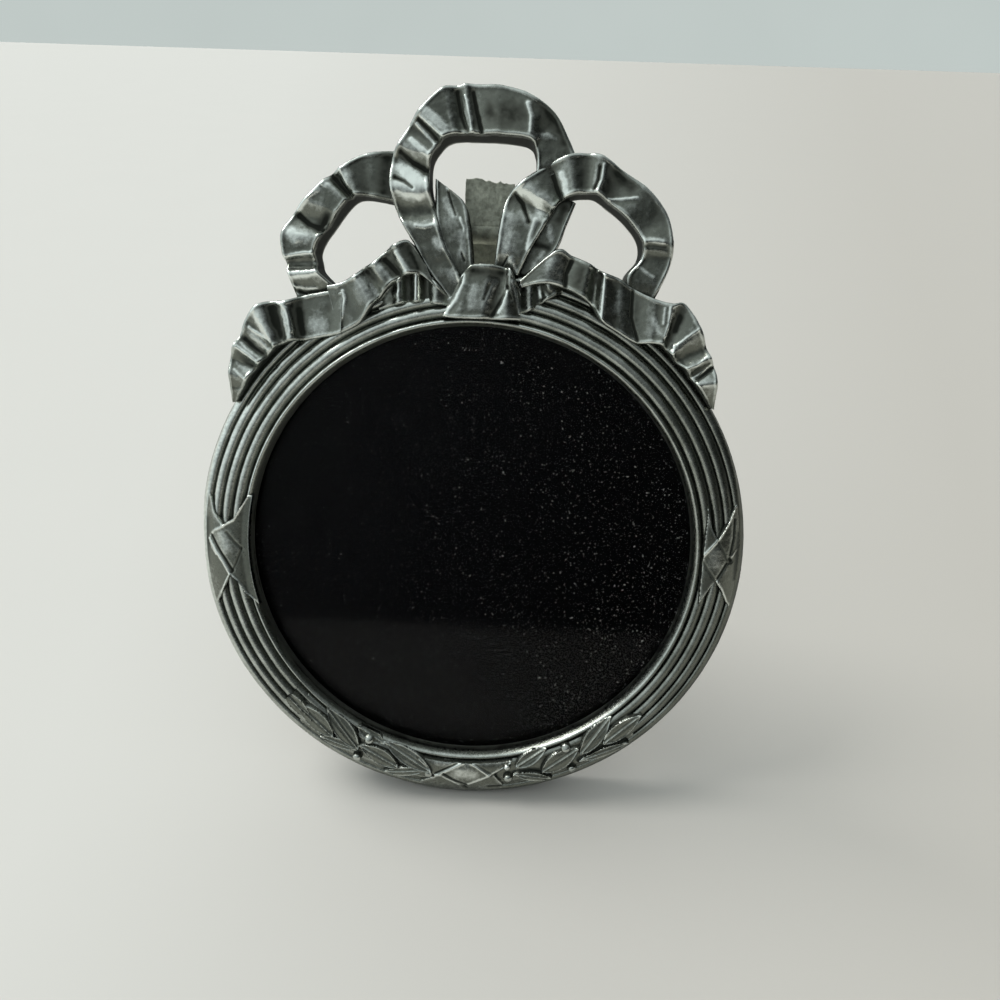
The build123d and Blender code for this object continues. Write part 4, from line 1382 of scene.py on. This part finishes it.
class OBJECT_OT_add_leg(Step, bpy.types.Operator):
    """Adds the easel leg with its barrel, head and foot"""

    bl_idname = "round_frame.add_leg"
    bl_label = "Leg"

    def execute(self, context):
        leg = sizes().leg
        hinge = front_matrix() @ Vector(pin_centre())
        run_length = hinge.z / cos(leg.tilt)
        flare_top = leg.foot_length - run_length
        flare_bottom = leg.toe_length - run_length
        soft = 0.4 * MM

        def floor_run(depth):
            """Distance along the leg from the pin to the floor, downwards negative."""
            return (depth * np.sin(leg.tilt) - hinge.z) / cos(leg.tilt)

        def half_width(run):
            """Half the leg's width at distances along it from the pin."""
            barrel, waist, foot = leg.barrel_length / 2, leg.waist_width / 2, leg.foot_width / 2
            upper = barrel + (waist - barrel) * smooth_step(-2 * run / run_length)
            flare = np.clip((flare_top - run) / (flare_top - flare_bottom), 0, 1)
            return np.where(run > flare_top, upper, waist + (foot - waist) * flare**1.8)

        # Stations round the section: share of half the width, depth and whether it is on a face
        face, back = leg.face_offset, leg.face_offset - leg.thickness
        stations = [(-1, back + soft, 0), (-1, face - soft, 0)]
        stations += [(-1 + step / 6, face, 1) for step in range(13)]
        stations += [(1, face - soft, 0), (1, back + soft, 0)]
        stations += [(1 - step / 6, back, 1) for step in range(13)]
        stations = np.array(stations + stations[:1])
        last = len(stations) - 1

        def place(around, along):
            side, depth, on_face = stations[np.rint(around * last).astype(int)].T
            run = floor_run(depth) * along
            return side * (half_width(run) - on_face * soft * 0.6), run, depth

        strut = close_seams(cells("strut", last, 150, place))
        roughen(strut, 2.5 * MM, 0.12 * MM)
        places = corners(strut)
        places[:, 1] = np.maximum(places[:, 1], floor_run(places[:, 2]))
        move_corners(strut, places)
        turn = Euler((pi / 2 + leg.tilt, 0, 0)).to_matrix().to_4x4()
        stand(strut, Matrix.Translation(hinge) @ turn)
        whole = joined("leg_casting", [strut, self.head(), self.barrel()])
        mark_hollows(whole, 6, 0.2 * MM)
        dress(whole, leg_finish())
        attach(whole, "leg")
        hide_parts("easel_leg")
        return {"FINISHED"}

    def head(self):
        """The rough end above the barrel, broken along its top."""
        leg, bow = sizes().leg, sizes().bow
        hinge_x, hinge_up, _ = pin_centre()
        front_depth = -bow.back_depth - 0.1 * MM
        back_depth = front_depth - leg.thickness
        soft = 0.35 * MM
        # Stations round the section: share of the head's height, step from there and depth
        stations = [(0, 0, back_depth), (0, 0, front_depth - soft), (0, soft, front_depth)]
        stations += [(share, 0, front_depth) for share in (0.25, 0.5, 0.75)]
        stations += [(1, -soft, front_depth), (1, 0, front_depth - soft)]
        stations += [(1, -0.1 * MM, (front_depth + back_depth) / 2), (1, -soft, back_depth)]
        stations = np.array(stations + [(0.5, 0, back_depth), (0, 0, back_depth)])
        last = len(stations) - 1

        def place(around, along):
            side = (2 * along - 1) * leg.barrel_length / 2
            # A slice through a noise, with teeth of just under a millimetre
            ragged = np.array([noise.noise(Vector((x / (0.9 * MM), 0.3, 0.7))) for x in side])
            height = leg.head_length - leg.head_slope * along + 0.45 * MM * (ragged - 0.45)
            share, step, depth = stations[np.rint(around * last).astype(int)].T
            return hinge_x + side, hinge_up + height * share + step, depth

        head = close_seams(cells("head", last, 48, place))
        modify(head, "SUBSURF", levels=2, render_levels=2)
        roughen(head, 1.1 * MM, 0.2 * MM, 3)
        return stand(head, front_matrix())

    def barrel(self):
        """The barrel round the pin."""
        barrel = hinge_cylinder("barrel", 0, sizes().leg.barrel_length, 64)
        modify(barrel, "BEVEL", width=0.3 * MM, segments=3, limit_method="ANGLE")
        return stand(barrel, front_matrix(), radians(35))


class OBJECT_OT_finish_pack(Step, bpy.types.Operator):
    """Finishes the glass, cards, board, buttons, rivets and pin"""

    bl_idname = "round_frame.finish_pack"
    bl_label = "Pack and fittings"

    def execute(self, context):
        colours = sizes().finish
        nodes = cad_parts
        pane = self.pane()
        dress(pane, glass_finish())
        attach(pane, "frame")
        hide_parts("glass_pane")
        black_card = card_finish("black_card", colours.black_card, 0.4 * MM, 0.8, shine=0.03)
        grey_card = card_finish("grey_card", colours.grey_card, 0.6 * MM, 0.85)
        dress(nodes["mount_card"], black_card)
        dress(nodes["spacer_card"], grey_card)
        dress(nodes["back_board"], card_finish("board", colours.board, 1.2 * MM, 0.6))
        brass = metal_finish("button_brass", colours.brass, 0.25, 0.5)
        for number in range(1, 5):
            dress(nodes[f"turn_button_{number}"], brass)
        dress(nodes["button_rivets"], metal_finish("rivet_brass", colours.brass, 0.3, 0.6))
        dress(nodes["hinge_pin"], metal_finish("pin_steel", colours.steel, 0.3, 0.6))
        return {"FINISHED"}

    def pane(self):
        """The glass: a disc with a ground seam round both faces, just clear of the card behind."""
        radius, thickness = glass_size()
        clear, seam = 0.04 * MM, 0.25 * MM
        front = -sizes().ring.seat_depth
        back = front - thickness + clear
        shares = np.arange(8) / 8
        profile = [(radius * share, front) for share in shares] + [(radius - seam, front)]
        profile += [(radius, front - seam), (radius, back + seam), (radius - seam, back)]
        profile = np.array(profile + [(radius * share, back) for share in shares[::-1]])
        return stand(turned("pane", profile, 180), front_matrix(), radians(20))


class OBJECT_OT_set_stage(Step, bpy.types.Operator):
    """Sets the floor, the lights and the camera"""

    bl_idname = "round_frame.set_stage"
    bl_label = "Stage"

    def execute(self, context):
        stage = sizes().stage
        deselect()
        bpy.ops.mesh.primitive_plane_add(size=stage.room)
        floor = context.object
        floor.name = "floor"
        dress(floor, self.paper(stage))
        deselect()
        bpy.ops.mesh.primitive_plane_add(
            size=stage.room, location=(0, stage.wall_away, 0), rotation=(pi / 2, 0, stage.wall_turn)
        )
        wall = context.object
        wall.name = "wall"
        # It is seen and mirrored, but throws no light or shadow on the floor
        wall.visible_diffuse = wall.visible_shadow = False
        dress(wall, self.paint(stage))
        context.scene.world = self.sky(stage)
        lamp = bpy.data.lights.new("window", "SUN")
        lamp.energy = stage.lamp_strength
        lamp.angle = stage.lamp_spread
        lamp.color = stage.lamp_colour
        light = bpy.data.objects.new("window", lamp)
        context.scene.collection.objects.link(light)
        light.location = stage.lamp_side
        light.rotation_euler = (-Vector(stage.lamp_side)).to_track_quat("-Z", "Y").to_euler()
        camera_data = bpy.data.cameras.new("camera")
        camera_data.lens = stage.camera_lens
        camera_data.clip_start = 1 * MM
        camera = bpy.data.objects.new("camera", camera_data)
        context.scene.collection.objects.link(camera)
        place = Matrix.Translation((stage.camera_right, stage.camera_up, stage.camera_away))
        turn = Euler((stage.camera_pitch, stage.camera_yaw, stage.camera_roll)).to_matrix().to_4x4()
        camera.matrix_world = front_matrix() @ place @ turn
        context.scene.camera = camera
        context.scene.view_settings.view_transform = "Standard"
        return {"FINISHED"}

    def paper(self, stage):
        """The floor, with painted shade that darkens it away from the window, and faint clouds."""
        finish = surface("floor")
        across = finish.node("ShaderNodeSeparateXYZ", None, {0: finish.places()})
        depth = finish.node("ShaderNodeSeparateXYZ", None, {0: finish.places()}, output=1)
        # Painted shade: the floor darkens away from the window, in shades that fan out from a point
        # in front of the frame
        aside = across / (depth.at_least(-0.2) + 0.4)
        far = finish.ramp(aside + 0.5, (0.25, 0.0), (0.85, 1.0))
        shade = finish.mix(far, stage.floor, stage.floor_painted_shade)
        shade = finish.mix(finish.noise(60 * MM, 3) * 0.05, shade, stage.floor_cloud)
        return finish.finished(finish.principled(Base_Color=shade, Roughness=0.85))

    def paint(self, stage):
        """The wall, which shows its own colour in any light."""
        finish = surface("wall")
        darker = tuple(c * 0.93 for c in stage.wall)
        cloudy = finish.mix(finish.noise(400 * MM, 2), stage.wall, darker)
        shader = finish.principled(
            Base_Color=(0, 0, 0), Roughness=1.0, Emission_Color=cloudy, Emission_Strength=1.0
        )
        return finish.finished(shader)

    def sky(self, stage):
        """A sky that grows brighter towards the window."""
        finish = Finish(bpy.data.worlds.new("sky"), "ShaderNodeOutputWorld")
        ray = finish.node("ShaderNodeTexCoord", output="Generated")
        values = {0: ray, 1: Vector(stage.window_side).normalized()}
        towards = finish.node(
            "ShaderNodeVectorMath", {"operation": "DOT_PRODUCT"}, values, output="Value"
        )
        values = {"Value": towards, "From Min": -0.6, "From Max": 0.9}
        light = finish.node("ShaderNodeMapRange", {"interpolation_type": "SMOOTHSTEP"}, values)
        shade = finish.mix(light, stage.dark_sky, stage.bright_sky)
        return finish.finished(finish.node("ShaderNodeBackground", None, {"Color": shade}))


STEPS = (
    OBJECT_OT_add_ring,
    OBJECT_OT_add_wraps,
    OBJECT_OT_add_laurel,
    OBJECT_OT_add_bow,
    OBJECT_OT_add_hinge_lugs,
    OBJECT_OT_add_leg,
    OBJECT_OT_finish_pack,
    OBJECT_OT_set_stage,
)


class VIEW3D_PT_round_frame(bpy.types.Panel):
    """Lists the steps that model the frame"""

    bl_idname = "VIEW3D_PT_round_frame"
    bl_label = "Round frame"
    bl_space_type = "VIEW_3D"
    bl_region_type = "UI"
    bl_category = "Round frame"

    def draw(self, context):
        for step in STEPS:
            self.layout.operator(step.bl_idname)


CLASSES = (
    RingSizes,
    LaurelSizes,
    BowSizes,
    LegSizes,
    FinishColours,
    StageSettings,
    RoundFrame,
    *STEPS,
    VIEW3D_PT_round_frame,
)


def register():
    for cls in CLASSES:
        bpy.utils.register_class(cls)
    bpy.types.Scene.round_frame = PointerProperty(type=RoundFrame)


def unregister():
    del bpy.types.Scene.round_frame
    for cls in reversed(CLASSES):
        bpy.utils.unregister_class(cls)


def main():
    """Builds the whole frame."""
    register()
    for step in STEPS:
        group, name = step.bl_idname.split(".")
        getattr(getattr(bpy.ops, group), name)()


if __name__ == "__main__":
    main()
